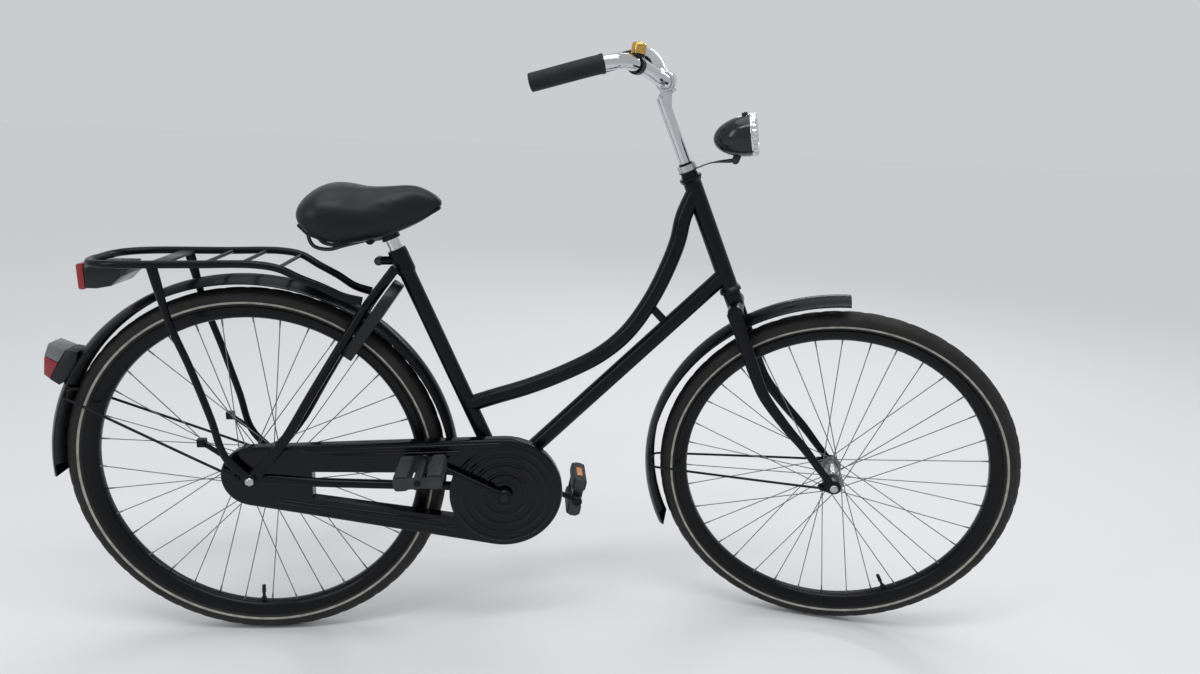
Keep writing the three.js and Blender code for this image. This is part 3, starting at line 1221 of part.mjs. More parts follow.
// A slab under the cushion, from a drop below its foot line to a rise above it
function saddleSlab(drop, rise) {
  const outline = [flat(-1, 0), flat(1, 0), flat(1, 1), flat(-1, 1)];
  const rings = SADDLE_SHARES.slice(1, -1).map(([x, , foot, width]) => {
    const half = (SADDLE_WIDTH / 2) * width * BASE_WIDTH_SHARE;
    const place = onSaddle(x, foot);
    return outline.map((point) => at(place.x, point.x * half, place.z + (point.y ? rise : -drop)));
  });
  return loft(rings, outline);
}

const crossPlace = onSeat(SEAT_TUBE_LENGTH + POST_SHOWN).add(at(-CROSS_SETBACK, 0, 0));
function saddleClamp() {
  const [foot, top] = [SEAT_TUBE_LENGTH + POST_SHOWN, SEAT_TUBE_LENGTH + POST_SHOWN + SADDLE_CLAMP_HEIGHT];
  const middle = (foot + top) / 2;
  return cut(
    join(
      tube(line(onSeat(foot), onSeat(top)), POST_RADIUS + SADDLE_CLAMP_WALL, 16),
      turned(rod(CROSS_RADIUS, -CROSS_WIDTH / 2, CROSS_WIDTH / 2), 12)
        .translate(crossPlace.x, 0, crossPlace.z),
      bar(line(onSeat(middle), crossPlace), 1, 8, () => [POST_RADIUS, CROSS_RADIUS * BASE_WIDTH_SHARE]),
    ),
    tube(line(onSeat(foot - OVERRUN), onSeat(top + OVERRUN)), outside(POST_RADIUS + GAP, 14), 14),
    railWire(outside(RAIL_RADIUS + GAP, 5)),
    saddleSlab(BASE_THICKNESS + GAP, SADDLE_HEIGHT / 2),
  );
}
mesh(frame, "saddle_clamp", saddleClamp(), BLACK_PAINT);
mesh(frame, "saddle_rails", cut(railWire(RAIL_RADIUS), saddleSlab(BASE_THICKNESS + GAP, SADDLE_HEIGHT / 2)),
  DARK_STEEL);
mesh(frame, "saddle_base", saddleSlab(BASE_THICKNESS, -GAP), BLACK_PLASTIC);

function cushion() {
  const half = SADDLE_SECTION_SHARES.slice(0, -1);
  const section = [...SADDLE_SECTION_SHARES, ...half.map(([y, z]) => [-y, z]).reverse()];
  const outline = section.map(([y, z]) => flat(y, z));
  const rings = SADDLE_SHARES.map(([x, crest, foot, width]) => section.map(([y, z]) =>
    onSaddle(x, lerp(foot, crest, z), y * width * (SADDLE_WIDTH / 2))));
  return loft(rings, outline);
}
mesh(frame, "saddle_cushion", cushion(), VINYL);

// Carrier: a tube round the deck, cross bars welded between its sides, and two legs with hooks

const CARRIER_SHARES = [
  [1, 1, 0.58], [0.93, 0.87, 0.64], [0.86, 0.6, 0.76], [0.78, 0.34, 0.87], [0.71, 0.09, 0.96], [0.63, 0, 1],
  [0.4, 0.04, 1], [0.1, 0.1, 1], [0.03, 0.12, 0.8], [0, 0.13, 0.4], [0, 0.13, 0],
];
const CARRIER_SIZE_SHARES = [
  [0, 0.4, 1.2], [0.05, 0.5, 1.1], [0.09, 1, 1], [0.91, 1, 1], [0.95, 0.5, 1.1], [1, 0.4, 1.2],
];
const CARRIER_BAR_SHARES = [0.439, 0.57, 0.708];
const CARRIER_BAR_RADIUS = 3.5;
const CARRIER_PLATE_SHARE = 0.27;
const CARRIER_PLATE_LENGTH = 26;
const CARRIER_PLATE_THICKNESS = 4;
const carrierHalf = CARRIER_WIDTH / 2;
const carrierX = (share) => lerp(CARRIER_TAIL, CARRIER_FRONT, share);
const carrierSide = (side) => CARRIER_SHARES.map(([x, drop, y]) =>
  at(carrierX(x), side * carrierHalf * y, CARRIER_HEIGHT - CARRIER_DROP * drop));
const carrierPath = curve(...carrierSide(-1), ...carrierSide(1).slice(0, -1).reverse());
function carrierRail(extra) {
  const sizes = between(CARRIER_SIZE_SHARES);
  return bar(carrierPath, 34, 8, (share) => {
    const [thickness, depth] = sizes(share);
    return [CARRIER_TUBE_RADIUS * depth + extra, CARRIER_TUBE_RADIUS * thickness + extra];
  }, at(0, 0, 1));
}
const carrierDrop = between([...CARRIER_SHARES].reverse().slice(1));
const carrierZ = (share) => CARRIER_HEIGHT - CARRIER_DROP * carrierDrop(share)[0];

mesh(frame, "carrier_frame", join(
  carrierRail(0),
  ...CARRIER_BAR_SHARES.map((share) => tube(line(
    at(carrierX(share), -carrierHalf, carrierZ(share)), at(carrierX(share), carrierHalf, carrierZ(share))),
  CARRIER_BAR_RADIUS, 8)),
  new THREE.BoxGeometry(CARRIER_PLATE_LENGTH, CARRIER_WIDTH, CARRIER_PLATE_THICKNESS)
    .translate(carrierX(CARRIER_PLATE_SHARE), 0, carrierZ(CARRIER_PLATE_SHARE)),
), BLACK_PAINT);

const LEG_SHARES = [[0, 1], [0.246, 0.95], [0.455, 0.6], [0.69, 0.4], [0.886, 0.22], [1, 0]];
const LEG_SIZE_SHARES = [
  [0, 0.5, 1.5], [0.07, 0.6, 1.4], [0.16, 1, 1], [0.8, 1, 1], [0.93, 0.2, 1.3], [1, 0.2, 1.3],
];
const LEG_BACK = 134;
const LEG_X_SHARES = [1, 0.85, 0.65, 0.448, 0.299, 0];
const LEG_EYE = 12;
const HOOK_SHARE = 0.862;
const HOOK_BACK = 38;
const HOOK_UP = 28;
const HOOK_BLOCK = 15;
const HOOK_ARM = [2.5, 5];
function carrierLeg(side) {
  const top = at(-LEG_BACK, side * carrierHalf, CARRIER_HEIGHT - CARRIER_TUBE_RADIUS);
  const foot = at(0, side * (legFace - LEG_FLAT / 2), WHEEL_RADIUS);
  const path = curve(...LEG_SHARES.map(([down, spread], i) => at(
    lerp(foot.x, top.x, LEG_X_SHARES[i]), lerp(foot.y, top.y, spread), lerp(top.z, foot.z, down))));
  const sizes = between(LEG_SIZE_SHARES);
  const leg = bar(path, 10, 8, (share) => sizes(share).map((size) => CARRIER_LEG_RADIUS * size));
  const root = path.getPointAt(HOOK_SHARE);
  const tip = root.clone().add(at(-HOOK_BACK, 0, HOOK_UP));
  const hook = bar(line(root, tip), 1, 8, () => HOOK_ARM);
  const block = new THREE.BoxGeometry(HOOK_BLOCK, HOOK_BLOCK, HOOK_BLOCK).translate(tip.x, tip.y, tip.z);
  const { eye, cuts } = axleEye(LEG_EYE, ...ordered(side * (legFace - LEG_FLAT), side * legFace));
  return cut(join(leg, hook, block, eye), ...cuts, carrierRail(GAP),
    new THREE.BoxGeometry(CARRIER_PLATE_LENGTH + GAP, CARRIER_WIDTH, CARRIER_PLATE_THICKNESS + 2 * GAP)
      .translate(carrierX(CARRIER_PLATE_SHARE), 0, carrierZ(CARRIER_PLATE_SHARE)));
}
for (const [name, side] of SIDES) mesh(frame, `carrier_leg_${name}`, carrierLeg(side), BLACK_PAINT);

// Tail lamp under the carrier's end

const TAIL_LAMP_LENGTH = 61;
const TAIL_LAMP_HEIGHT = 42;
const TAIL_LAMP_BACK = 10;
const TAIL_LENS_DEPTH = 11;
const TAIL_LENS_HEIGHT = 46;
const TAIL_LENS_CORNER = 3;
const TAIL_BODY_SHARES = [[0, 0], [0, 1], [1, 1], [1, 0.55], [0.7, 0.12], [0.3, 0]];
const tailRear = CARRIER_TAIL - TAIL_LAMP_BACK;
const tailTop = carrierZ(0.001) - CARRIER_TUBE_RADIUS - GAP;
const tailHalf = TAIL_LAMP_WIDTH / 2;
const tailOutline = TAIL_BODY_SHARES.map(([x, z]) =>
  flat(tailRear + TAIL_LAMP_LENGTH * x, tailTop - TAIL_LAMP_HEIGHT * (1 - z)));
mesh(frame, "tail_lamp_body", plate(tailOutline, -tailHalf, tailHalf), SMOKY_PLASTIC);
const tailLens = rounded(TAIL_LENS_DEPTH, TAIL_LENS_HEIGHT, TAIL_LENS_CORNER);
mesh(frame, "tail_lamp_lens", plate(tailLens, -tailHalf, tailHalf)
  .translate(tailRear - GAP - TAIL_LENS_DEPTH / 2, 0, tailTop - TAIL_LAMP_HEIGHT / 2), RED_LENS);

// Lamp on the rear fender: a black foot, a clear upper lens and a red lower lens

const FENDER_LAMP_ANGLES = [142.8, 154];
const FENDER_LAMP_FOOT = 18;
const FENDER_LAMP_OUT_SHARES = [[0.2, 0.98], [0.5, 0.83], [0.92, 0.4]];
const FENDER_LENS_OUT = 31;
const fenderLampRoom = () => around(
  [
    [-FENDER_WIDTH, -REAR_FENDER_RADIUS / 2], [FENDER_WIDTH, -REAR_FENDER_RADIUS / 2],
    ...FENDER_STATION_SHARES.map((share) =>
      [-share * (FENDER_WIDTH / 2), -FENDER_DROP * share * share + GAP]),
  ],
  REAR_FENDER_RADIUS, ...REAR_FENDER_ANGLES, FENDER_STEPS);
const lampFace = REAR_FENDER_RADIUS + FENDER_LAMP_FOOT;
const lampHalf = FENDER_LAMP_WIDTH / 2;
const lampSpot = (share, out) => {
  const spot = polar(lampFace + out, lerp(...FENDER_LAMP_ANGLES, share));
  return flat(spot.x, spot.z);
};
const [lensHigh, lensMiddle, lensLow] = FENDER_LAMP_OUT_SHARES.map(([share, out]) =>
  [share, GAP + FENDER_LENS_OUT * out]);
const lampFoot = [
  lampSpot(0, -FENDER_LAMP_FOOT), lampSpot(0.12, 0), lampSpot(0.96, 0), lampSpot(1, -FENDER_LAMP_FOOT),
  lampSpot(0.5, -FENDER_LAMP_FOOT - FENDER_DROP),
];
mesh(frame, "fender_lamp_body", cut(plate(lampFoot, -lampHalf, lampHalf), fenderLampRoom()),
  BLACK_PLASTIC, rearAxle);
const lampSpan = radians(FENDER_LAMP_ANGLES[1] - FENDER_LAMP_ANGLES[0]);
const lensParting = GAP / REAR_FENDER_RADIUS / lampSpan;
mesh(frame, "fender_lamp_clear", plate([
  lampSpot(0.12, GAP), lampSpot(...lensHigh), lampSpot(...lensMiddle), lampSpot(lensMiddle[0], GAP),
], -lampHalf, lampHalf), CLEAR_LENS, rearAxle);
mesh(frame, "fender_lamp_red", plate([
  lampSpot(lensMiddle[0] + lensParting, GAP), lampSpot(lensMiddle[0] + lensParting, lensMiddle[1]),
  lampSpot(...lensLow), lampSpot(0.96, GAP),
], -lampHalf, lampHalf), RED_LENS, rearAxle);

// Ring lock: a horseshoe round the fender and the rim, in front of the seat stays

const LOCK_ANGLE = 55.75;
const LOCK_FORWARD = 15;
const LOCK_FOOT = 297;
const LOCK_TOP = 461;
const LOCK_MOUTH = 68;
const LOCK_MOUTH_TOP = 424;
const LOCK_TIP_SHARE = 0.72;
function ringLock() {
  const half = LOCK_WIDTH / 2;
  const mouth = LOCK_MOUTH / 2;
  const tip = lerp(mouth, half, LOCK_TIP_SHARE);
  const outer = arc(0, LOCK_TOP - half, half, 0, STRAIGHT, 12);
  const inner = arc(0, LOCK_MOUTH_TOP - mouth, mouth, STRAIGHT, 0, 10);
  const outline = [
    flat(tip, LOCK_FOOT), ...outer, flat(-tip, LOCK_FOOT),
    flat(-mouth, LOCK_FOOT), ...inner, flat(mouth, LOCK_FOOT),
  ];
  const body = plate(outline, LOCK_FORWARD - LOCK_DEPTH / 2, LOCK_FORWARD + LOCK_DEPTH / 2)
    .rotateZ(-Math.PI / 2)
    .rotateY(radians(RIGHT - LOCK_ANGLE))
    .translate(0, 0, WHEEL_RADIUS);
  return cut(body, ...SIDES.map(([, side]) => seatStayBar(side, GAP)));
}
mesh(frame, "ring_lock", ringLock(), BLACK_PLASTIC);

// Move the bike so that the middle of its box's underside is the origin
bike.updateMatrixWorld(true);
const box = new THREE.Box3().setFromObject(bike, true);
const middle = box.getCenter(at(0, 0, 0));
bike.position.set(-middle.x, -middle.y, -box.min.z);

export default bike;
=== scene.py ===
# %% [markdown]
# A Dutch city bike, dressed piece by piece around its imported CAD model.
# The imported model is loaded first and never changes. Every piece made here is in the same frame,
# so it goes where the CAD says. Lengths are written in millimetres, as on a workshop drawing.

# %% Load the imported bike
import math

import bmesh
import bpy
from mathutils import Matrix, Vector


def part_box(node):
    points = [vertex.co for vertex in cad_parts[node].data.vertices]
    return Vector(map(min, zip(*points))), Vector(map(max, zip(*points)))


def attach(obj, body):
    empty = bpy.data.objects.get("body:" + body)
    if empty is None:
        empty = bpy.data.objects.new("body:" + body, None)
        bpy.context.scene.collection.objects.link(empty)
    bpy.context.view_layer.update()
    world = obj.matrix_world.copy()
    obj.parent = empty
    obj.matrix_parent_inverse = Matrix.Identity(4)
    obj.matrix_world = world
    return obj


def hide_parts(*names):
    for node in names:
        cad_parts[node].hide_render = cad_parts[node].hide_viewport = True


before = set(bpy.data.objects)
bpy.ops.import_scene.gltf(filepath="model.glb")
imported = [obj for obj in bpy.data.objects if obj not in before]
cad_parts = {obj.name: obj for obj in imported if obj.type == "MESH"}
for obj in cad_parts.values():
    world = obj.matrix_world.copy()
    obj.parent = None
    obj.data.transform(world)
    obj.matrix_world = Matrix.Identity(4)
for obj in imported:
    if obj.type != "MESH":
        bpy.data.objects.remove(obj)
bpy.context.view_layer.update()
MM = 0.001

# %% [markdown]
# The drawing's own origin is on the ground under the rear axle. The rear rim is a turned piece about
# that axle, so the middle of its box gives the axle, and one matrix takes drawing millimetres to the
# frame's metres. The steered parts have a second one, tilted along the head tube and turned.

# %% Places on the drawing
WHEEL_RADIUS = 357.5
HEAD_TILT = 24.2
SEAT_TILT = 23.9
STEER_ANGLE = -17.3
FORK_RAKE = 70
LAMP_DIP = 12.9
BRACKET = Vector((475, 0, 326))
REAR_AXLE = Vector((0, 0, WHEEL_RADIUS))
FRONT_AXLE = Vector((1150, 0, WHEEL_RADIUS))
RIM_AXLE = Vector((FORK_RAKE, 0, 0))

low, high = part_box("rear_rim")
ground = (low + high) / 2 - REAR_AXLE * MM
BIKE = Matrix.Translation(ground) @ Matrix.Scale(MM, 4)


def turn(degrees, axis):
    return Matrix.Rotation(math.radians(degrees), 4, axis)


def tilted(degrees):
    return Vector((-math.sin(math.radians(degrees)), 0, math.cos(math.radians(degrees))))


def forward_of(up):
    return Vector((up.z, 0, -up.x))


def lerp(a, b, share):
    return a + (b - a) * share


def polar(radius, degrees, y=0.0):
    return Vector((radius * math.cos(math.radians(degrees)), y, radius * math.sin(math.radians(degrees))))


HEAD_UP, SEAT_UP = tilted(HEAD_TILT), tilted(SEAT_TILT)
HEAD_FOOT = FRONT_AXLE - FORK_RAKE * forward_of(HEAD_UP)
STEERED = BIKE @ Matrix.Translation(HEAD_FOOT) @ turn(-HEAD_TILT, "Y") @ turn(STEER_ANGLE, "Z")


def on_head(along):
    return HEAD_FOOT + along * HEAD_UP


def on_seat(along, forward=0.0):
    return BRACKET + along * SEAT_UP + forward * forward_of(SEAT_UP)


# %% [markdown]
# The camera stands where the photograph was taken from. Its place and turn were fitted to the two
# wheels, whose ellipses are sharp in the picture, and its lens is a phone's wide one.

# %% Camera
CAMERA_PLACE = Vector((514, -1463, 1026))
YAW, PITCH, ROLL = -5.45, -14.94, -2.67
LENS = 23.4
camera = bpy.data.objects.new("camera", bpy.data.cameras.new("camera"))
bpy.context.scene.collection.objects.link(camera)
camera.data.lens = LENS
camera.data.sensor_width = 36
camera.data.sensor_fit = "HORIZONTAL"
camera.data.clip_start = 0.05
look = turn(YAW, "Z") @ turn(PITCH, "X") @ turn(ROLL, "Y") @ turn(90, "X")
camera.matrix_world = Matrix.Translation(ground + CAMERA_PLACE * MM) @ look
bpy.context.scene.camera = camera

# %% [markdown]
# A black bike needs something pale to mirror, or its tubes go flat. Three broad soft lamps stand in
# for a workshop's ceiling lights, and the world is a pale grey that shows behind the bike.

# %% Stage
FLOOR_COLOUR = (0.7, 0.71, 0.72, 1)
WALL_COLOUR = (0.59, 0.604, 0.624, 1)
SKY_COLOUR = (0.95, 0.97, 1, 1)
WORLD_STRENGTH = 0.45


def new_object(name, mesh):
    made = bpy.data.objects.new(name, mesh)
    bpy.context.scene.collection.objects.link(made)
    return made


def nodes_of(material):
    material.use_nodes = True
    tree = material.node_tree
    return tree.nodes, tree.links, tree.nodes["Principled BSDF"]


def soft_lamp(name, place, target, size, watts):
    lamp = bpy.data.lights.new(name, "AREA")
    lamp.shape = "RECTANGLE"
    lamp.size, lamp.size_y = size
    lamp.energy = watts
    holder = new_object(name, lamp)
    way = Vector(target) - Vector(place)
    holder.matrix_world = Matrix.Translation(place) @ way.to_track_quat("-Z", "Y").to_matrix().to_4x4()


soft_lamp("ceiling_lamp", (0.2, -1.2, 3.2), (0, 0, 0.4), (3.4, 0.35), 33)
soft_lamp("side_lamp", (-3.2, -2.2, 2.2), (0, 0, 0.5), (0.2, 2.2), 18)
soft_lamp("back_lamp", (1.6, 2.6, 2.6), (0, 0, 0.5), (2.4, 0.22), 20)
roof = bpy.data.lights.new("roof_light", "SUN")
roof.energy = 1.15
roof.angle = math.radians(60)
new_object("roof_light", roof)

world = bpy.data.worlds.new("world")
bpy.context.scene.world = world
world.use_nodes = True
world.node_tree.nodes["Background"].inputs["Strength"].default_value = WORLD_STRENGTH
world.node_tree.nodes["Background"].inputs["Color"].default_value = SKY_COLOUR
behind = world.node_tree.nodes.new("ShaderNodeBackground")
behind.inputs["Color"].default_value = WALL_COLOUR
path = world.node_tree.nodes.new("ShaderNodeLightPath")
choose = world.node_tree.nodes.new("ShaderNodeMixShader")
seen = [world.node_tree.nodes.new("ShaderNodeMath") for _ in range(2)]
world.node_tree.links.new(path.outputs["Is Camera Ray"], seen[0].inputs[0])
world.node_tree.links.new(path.outputs["Is Glossy Ray"], seen[0].inputs[1])
world.node_tree.links.new(seen[0].outputs["Value"], seen[1].inputs[0])
world.node_tree.links.new(path.outputs["Is Transmission Ray"], seen[1].inputs[1])
seen[1].use_clamp = True
world.node_tree.links.new(seen[1].outputs["Value"], choose.inputs["Fac"])
world.node_tree.links.new(world.node_tree.nodes["Background"].outputs["Background"], choose.inputs[1])
world.node_tree.links.new(behind.outputs["Background"], choose.inputs[2])
world.node_tree.links.new(choose.outputs["Shader"], world.node_tree.nodes["World Output"].inputs["Surface"])

bm = bmesh.new()
bmesh.ops.create_grid(bm, x_segments=1, y_segments=1, size=40)
mesh = bpy.data.meshes.new("floor")
bm.to_mesh(mesh)
bm.free()
floor = new_object("floor", mesh)
floor_paint = bpy.data.materials.new("floor_paint")
nodes, links, shader = nodes_of(floor_paint)
shader.inputs["Base Color"].default_value = FLOOR_COLOUR
shader.inputs["Roughness"].default_value = 0.55
floor.data.materials.append(floor_paint)
bpy.context.scene.view_settings.view_transform = "Standard"

# %% [markdown]
# Finishes. Each one starts from the same three layers: a slow drift of the colour, patches that are a
# little duller or glossier where hands and dust have been, and a fine relief. What differs is their
# scale and depth, so paint, steel, rubber and plastic don't read as the same stuff.


# %% A finish in three layers
def finish(name, colour, roughness, metallic=0.0, drift=0.12, patch=9.0, dull=0.08, grain=900.0,
           relief=0.02, coat=0.0, shine=0.5, stretch=(1, 1, 1)):
    material = bpy.data.materials.new(name)
    nodes, links, shader = nodes_of(material)
    spot = nodes.new("ShaderNodeTexCoord")
    stretched = nodes.new("ShaderNodeMapping")
    stretched.inputs["Scale"].default_value = stretch
    links.new(spot.outputs["Object"], stretched.inputs["Vector"])

    def noise(scale, detail):
        made = nodes.new("ShaderNodeTexNoise")
        made.inputs["Scale"].default_value = scale
        made.inputs["Detail"].default_value = detail
        links.new(stretched.outputs["Vector"], made.inputs["Vector"])
        return made.outputs["Fac"]

    ramp = nodes.new("ShaderNodeValToRGB")
    ramp.color_ramp.elements[0].position = 0.3
    ramp.color_ramp.elements[1].position = 0.7
    for element, sign in zip(ramp.color_ramp.elements, (-1, 1)):
        element.color = (*(min(1, c * (1 + sign * drift)) for c in colour), 1)
    links.new(noise(patch, 4), ramp.inputs["Fac"])
    links.new(ramp.outputs["Color"], shader.inputs["Base Color"])
    wear = nodes.new("ShaderNodeMapRange")
    wear.inputs["From Min"].default_value = 0.3
    wear.inputs["From Max"].default_value = 0.7
    wear.inputs["To Min"].default_value = max(0.02, roughness - dull)
    wear.inputs["To Max"].default_value = roughness + dull
    links.new(noise(patch * 4, 6), wear.inputs["Value"])
    links.new(wear.outputs["Result"], shader.inputs["Roughness"])
    bump = nodes.new("ShaderNodeBump")
    bump.inputs["Strength"].default_value = relief
    bump.inputs["Distance"].default_value = MM
    links.new(noise(grain, 3), bump.inputs["Height"])
    links.new(bump.outputs["Normal"], shader.inputs["Normal"])
    shader.inputs["Metallic"].default_value = metallic
    shader.inputs["Specular IOR Level"].default_value = shine
    shader.inputs["Coat Weight"].default_value = coat
    shader.inputs["Coat Roughness"].default_value = 0.12
    return material


BLACK_PAINT = finish("black_paint", (0.003, 0.0034, 0.0056), 0.24, drift=0.2, grain=420, relief=0.1, shine=0.17)
GLOSS_BLACK = finish("gloss_black", (0.0015, 0.0017, 0.0026), 0.16, drift=0.2, grain=260, relief=0.12, coat=0.1,
                     shine=0.18)
DARK_STEEL = finish("dark_steel", (0.05, 0.052, 0.056), 0.42, 0.85, drift=0.25, patch=30, dull=0.1, relief=0.08)
STEEL = finish("steel", (0.46, 0.46, 0.47), 0.32, 0.95, drift=0.15, patch=40, dull=0.1, relief=0.06)
CHROME = finish("chrome", (0.6, 0.61, 0.63), 0.09, 1.0, drift=0.05, patch=24, dull=0.05, relief=0.02)
RUBBER = finish("rubber", (0.008, 0.0085, 0.0105), 0.6, drift=0.25, patch=26, dull=0.1, grain=1500, relief=0.3,
                shine=0.3)
TYRE = finish("tyre", (0.012, 0.0118, 0.0105), 0.66, drift=0.35, patch=16, dull=0.1, grain=1100, relief=0.35,
              shine=0.3)
PEDAL_RUBBER = finish("pedal_rubber", (0.017, 0.019, 0.021), 0.62, drift=0.3, patch=40, dull=0.1, grain=1300,
                      relief=0.3)
STRIPE = finish("stripe", (0.32, 0.31, 0.27), 0.5, drift=0.3, patch=60, dull=0.1, grain=1400, relief=0.3)
RIM_BLACK = finish("rim_black", (0.003, 0.0032, 0.004), 0.25, drift=0.25, grain=500, relief=0.06, shine=0.17)
PLASTIC = finish("black_plastic", (0.007, 0.0075, 0.009), 0.36, drift=0.2, grain=1800, relief=0.15, shine=0.3)
SMOKY = finish("smoky_plastic", (0.006, 0.006, 0.0065), 0.16, drift=0.2, grain=1500, relief=0.08, shine=0.35)
BRASS = finish("brass", (0.56, 0.36, 0.1), 0.24, 0.95, drift=0.18, patch=50, dull=0.09, relief=0.06)
AMBER = finish("amber", (0.62, 0.2, 0.015), 0.22, drift=0.15, patch=120, grain=700, relief=0.5)

# %% [markdown]
# Lenses let light in. Coloured ones get a moulded pattern of small prisms as relief, so that they
# sparkle instead of looking painted.


# %% Lens finishes
def lens_finish(name, colour, transmission, prism):
    material = finish(name, colour, 0.12, drift=0.1, patch=60, dull=0.04, grain=prism, relief=0.35, coat=0.4)
    _, _, shader = nodes_of(material)
    shader.inputs["Transmission Weight"].default_value = transmission
    shader.inputs["IOR"].default_value = 1.49
    return material


RED_LENS = lens_finish("red_lens", (0.3, 0.008, 0.016), 0.2, 500)
CLEAR_LENS = lens_finish("clear_lens", (0.86, 0.88, 0.9), 0.85, 120)
MILKY_LENS = lens_finish("milky_lens", (0.17, 0.18, 0.19), 0.3, 400)

# %% [markdown]
# The saddle's vinyl has a fine pebble grain: small cells from a Voronoi pattern, pressed in lightly,
# over a broad, slightly greasy sheen.

# %% Vinyl
VINYL = finish("vinyl", (0.005, 0.0056, 0.008), 0.37, drift=0.2, patch=14, dull=0.06, grain=2200, relief=0.1,
               shine=0.26)
nodes, links, shader = nodes_of(VINYL)
cells = nodes.new("ShaderNodeTexVoronoi")
cells.inputs["Scale"].default_value = 620
spot = nodes.new("ShaderNodeTexCoord")
links.new(spot.outputs["Object"], cells.inputs["Vector"])
pebble = nodes.new("ShaderNodeBump")
pebble.inputs["Strength"].default_value = 0.22
pebble.inputs["Distance"].default_value = MM / 3
links.new(cells.outputs["Distance"], pebble.inputs["Height"])
links.new(shader.inputs["Normal"].links[0].from_socket, pebble.inputs["Normal"])
links.new(pebble.outputs["Normal"], shader.inputs["Normal"])

# %% [markdown]
# CAD nodes whose shape is right stay. They are loose triangles, so a Weld joins them, a small Bevel
# catches the light on hard edges, and an Edge Split keeps those edges crisp under smooth shading.


# %% Keep a CAD node and finish it
def keep(node, material, bevel=0.0, angle=38):
    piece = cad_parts[node]
    piece.data.materials.clear()
    piece.data.materials.append(material)
    for face in piece.data.polygons:
        face.use_smooth = True
        face.material_index = 0
    weld = piece.modifiers.new("weld", "WELD")
    weld.merge_threshold = MM / 100
    if bevel:
        edge = piece.modifiers.new("edge", "BEVEL")
        edge.width = bevel * MM
        edge.segments = 2
        edge.limit_method = "ANGLE"
        edge.angle_limit = math.radians(angle)
    crisp = piece.modifiers.new("crisp", "EDGE_SPLIT")
    crisp.split_angle = math.radians(angle)


KEPT = {
    "rear_axle": STEEL, "front_axle": STEEL, "brake_arm": DARK_STEEL, "seat_clamp_bolt": DARK_STEEL,
    "rear_sprocket": STEEL, "chain": DARK_STEEL, "chain_case_inner": GLOSS_BLACK, "ring_lock": PLASTIC,
    "saddle_clamp": BLACK_PAINT, "saddle_base": PLASTIC, "tail_lamp_body": SMOKY,
    "tail_lamp_lens": RED_LENS, "fender_lamp_body": PLASTIC, "fender_lamp_clear": MILKY_LENS,
    "fender_lamp_red": RED_LENS, "crank_axle": STEEL, "chainring": STEEL, "headset_locknut": STEEL,
    "lamp_bracket": DARK_STEEL, "bell_base": PLASTIC, "pedal_right_frame": DARK_STEEL,
    "pedal_left_frame": DARK_STEEL,
}
BEVELLED = {"ring_lock": 2.2, "tail_lamp_body": 2.5, "tail_lamp_lens": 2.0, "fender_lamp_clear": 2.0,
            "fender_lamp_red": 2.0, "fender_lamp_body": 1.0, "rear_axle": 0.6, "front_axle": 0.6}
for node, material in KEPT.items():
    keep(node, material, BEVELLED.get(node, 0.0))
print("kept", len(KEPT), "CAD nodes")

# %% [markdown]
# Helpers for making pieces. A loop of points is grown into a skin by extruding its edges and moving
# the new ones, which is how one would pull a tube out in the editor. Turned pieces are a profile,
# spun. Plates are an outline, extruded and bevelled.


# %% Skins, tubes, turned pieces and plates
def grow(bm, loop, places, closed=True):
    count = len(loop)
    pairs = [(loop[i], loop[(i + 1) % count]) for i in range(count if closed else count - 1)]
    made = bmesh.ops.extrude_edge_only(bm, edges=[bm.edges.get(pair) for pair in pairs])["geom"]
    fresh = {tuple(v.co): v for v in made if isinstance(v, bmesh.types.BMVert)}
    grown = [fresh[tuple(v.co)] for v in loop]
    for vertex, place in zip(grown, places):
        vertex.co = place
    return grown


def skin(bm, rings, closed=True, capped=True):
    loop = [bm.verts.new(place) for place in rings[0]]
    count = len(loop)
    for i in range(count if closed else count - 1):
        bm.edges.new((loop[i], loop[(i + 1) % count]))
    if capped:
        bmesh.ops.contextual_create(bm, geom=loop)
    for places in rings[1:]:
        loop = grow(bm, loop, places, closed)
    if capped:
        bmesh.ops.contextual_create(bm, geom=loop)


def spline(points, steps):
    """Evenly spaced places along a centripetal spline through the given points"""
    p = [Vector(q) for q in points]
    p = [2 * p[0] - p[1], *p, 2 * p[-1] - p[-2]]
    fine = []
    for a, b, c, d in zip(p, p[1:], p[2:], p[3:]):
        u = (b - a).length ** 0.5
        v = u + (c - b).length ** 0.5
        w = v + (d - c).length ** 0.5
        for k in range(24):
            t = lerp(u, v, k / 24)
            first = [lerp(a, b, t / u), lerp(b, c, (t - u) / (v - u)), lerp(c, d, (t - v) / (w - v))]
            second = [lerp(first[0], first[1], t / v), lerp(first[1], first[2], (t - u) / (w - u))]
            fine.append(lerp(*second, (t - u) / (v - u)))
    fine.append(p[-2])
    reach = [0.0]
    for a, b in zip(fine, fine[1:]):
        reach.append(reach[-1] + (b - a).length)
    spaced, i = [], 0
    for k in range(steps + 1):
        goal = reach[-1] * k / steps
        while i < len(fine) - 2 and reach[i + 1] < goal:
            i += 1
        spaced.append(lerp(fine[i], fine[i + 1], (goal - reach[i]) / (reach[i + 1] - reach[i])))
    return spaced


def between(rows):
    def value(share):
        later = next((i for i, row in enumerate(rows) if row[0] >= share and i), len(rows) - 1)
        a, b = rows[later - 1], rows[later]
        part = (share - a[0]) / (b[0] - a[0])
        return [lerp(x, y, part) for x, y in zip(a[1:], b[1:])]
    return value


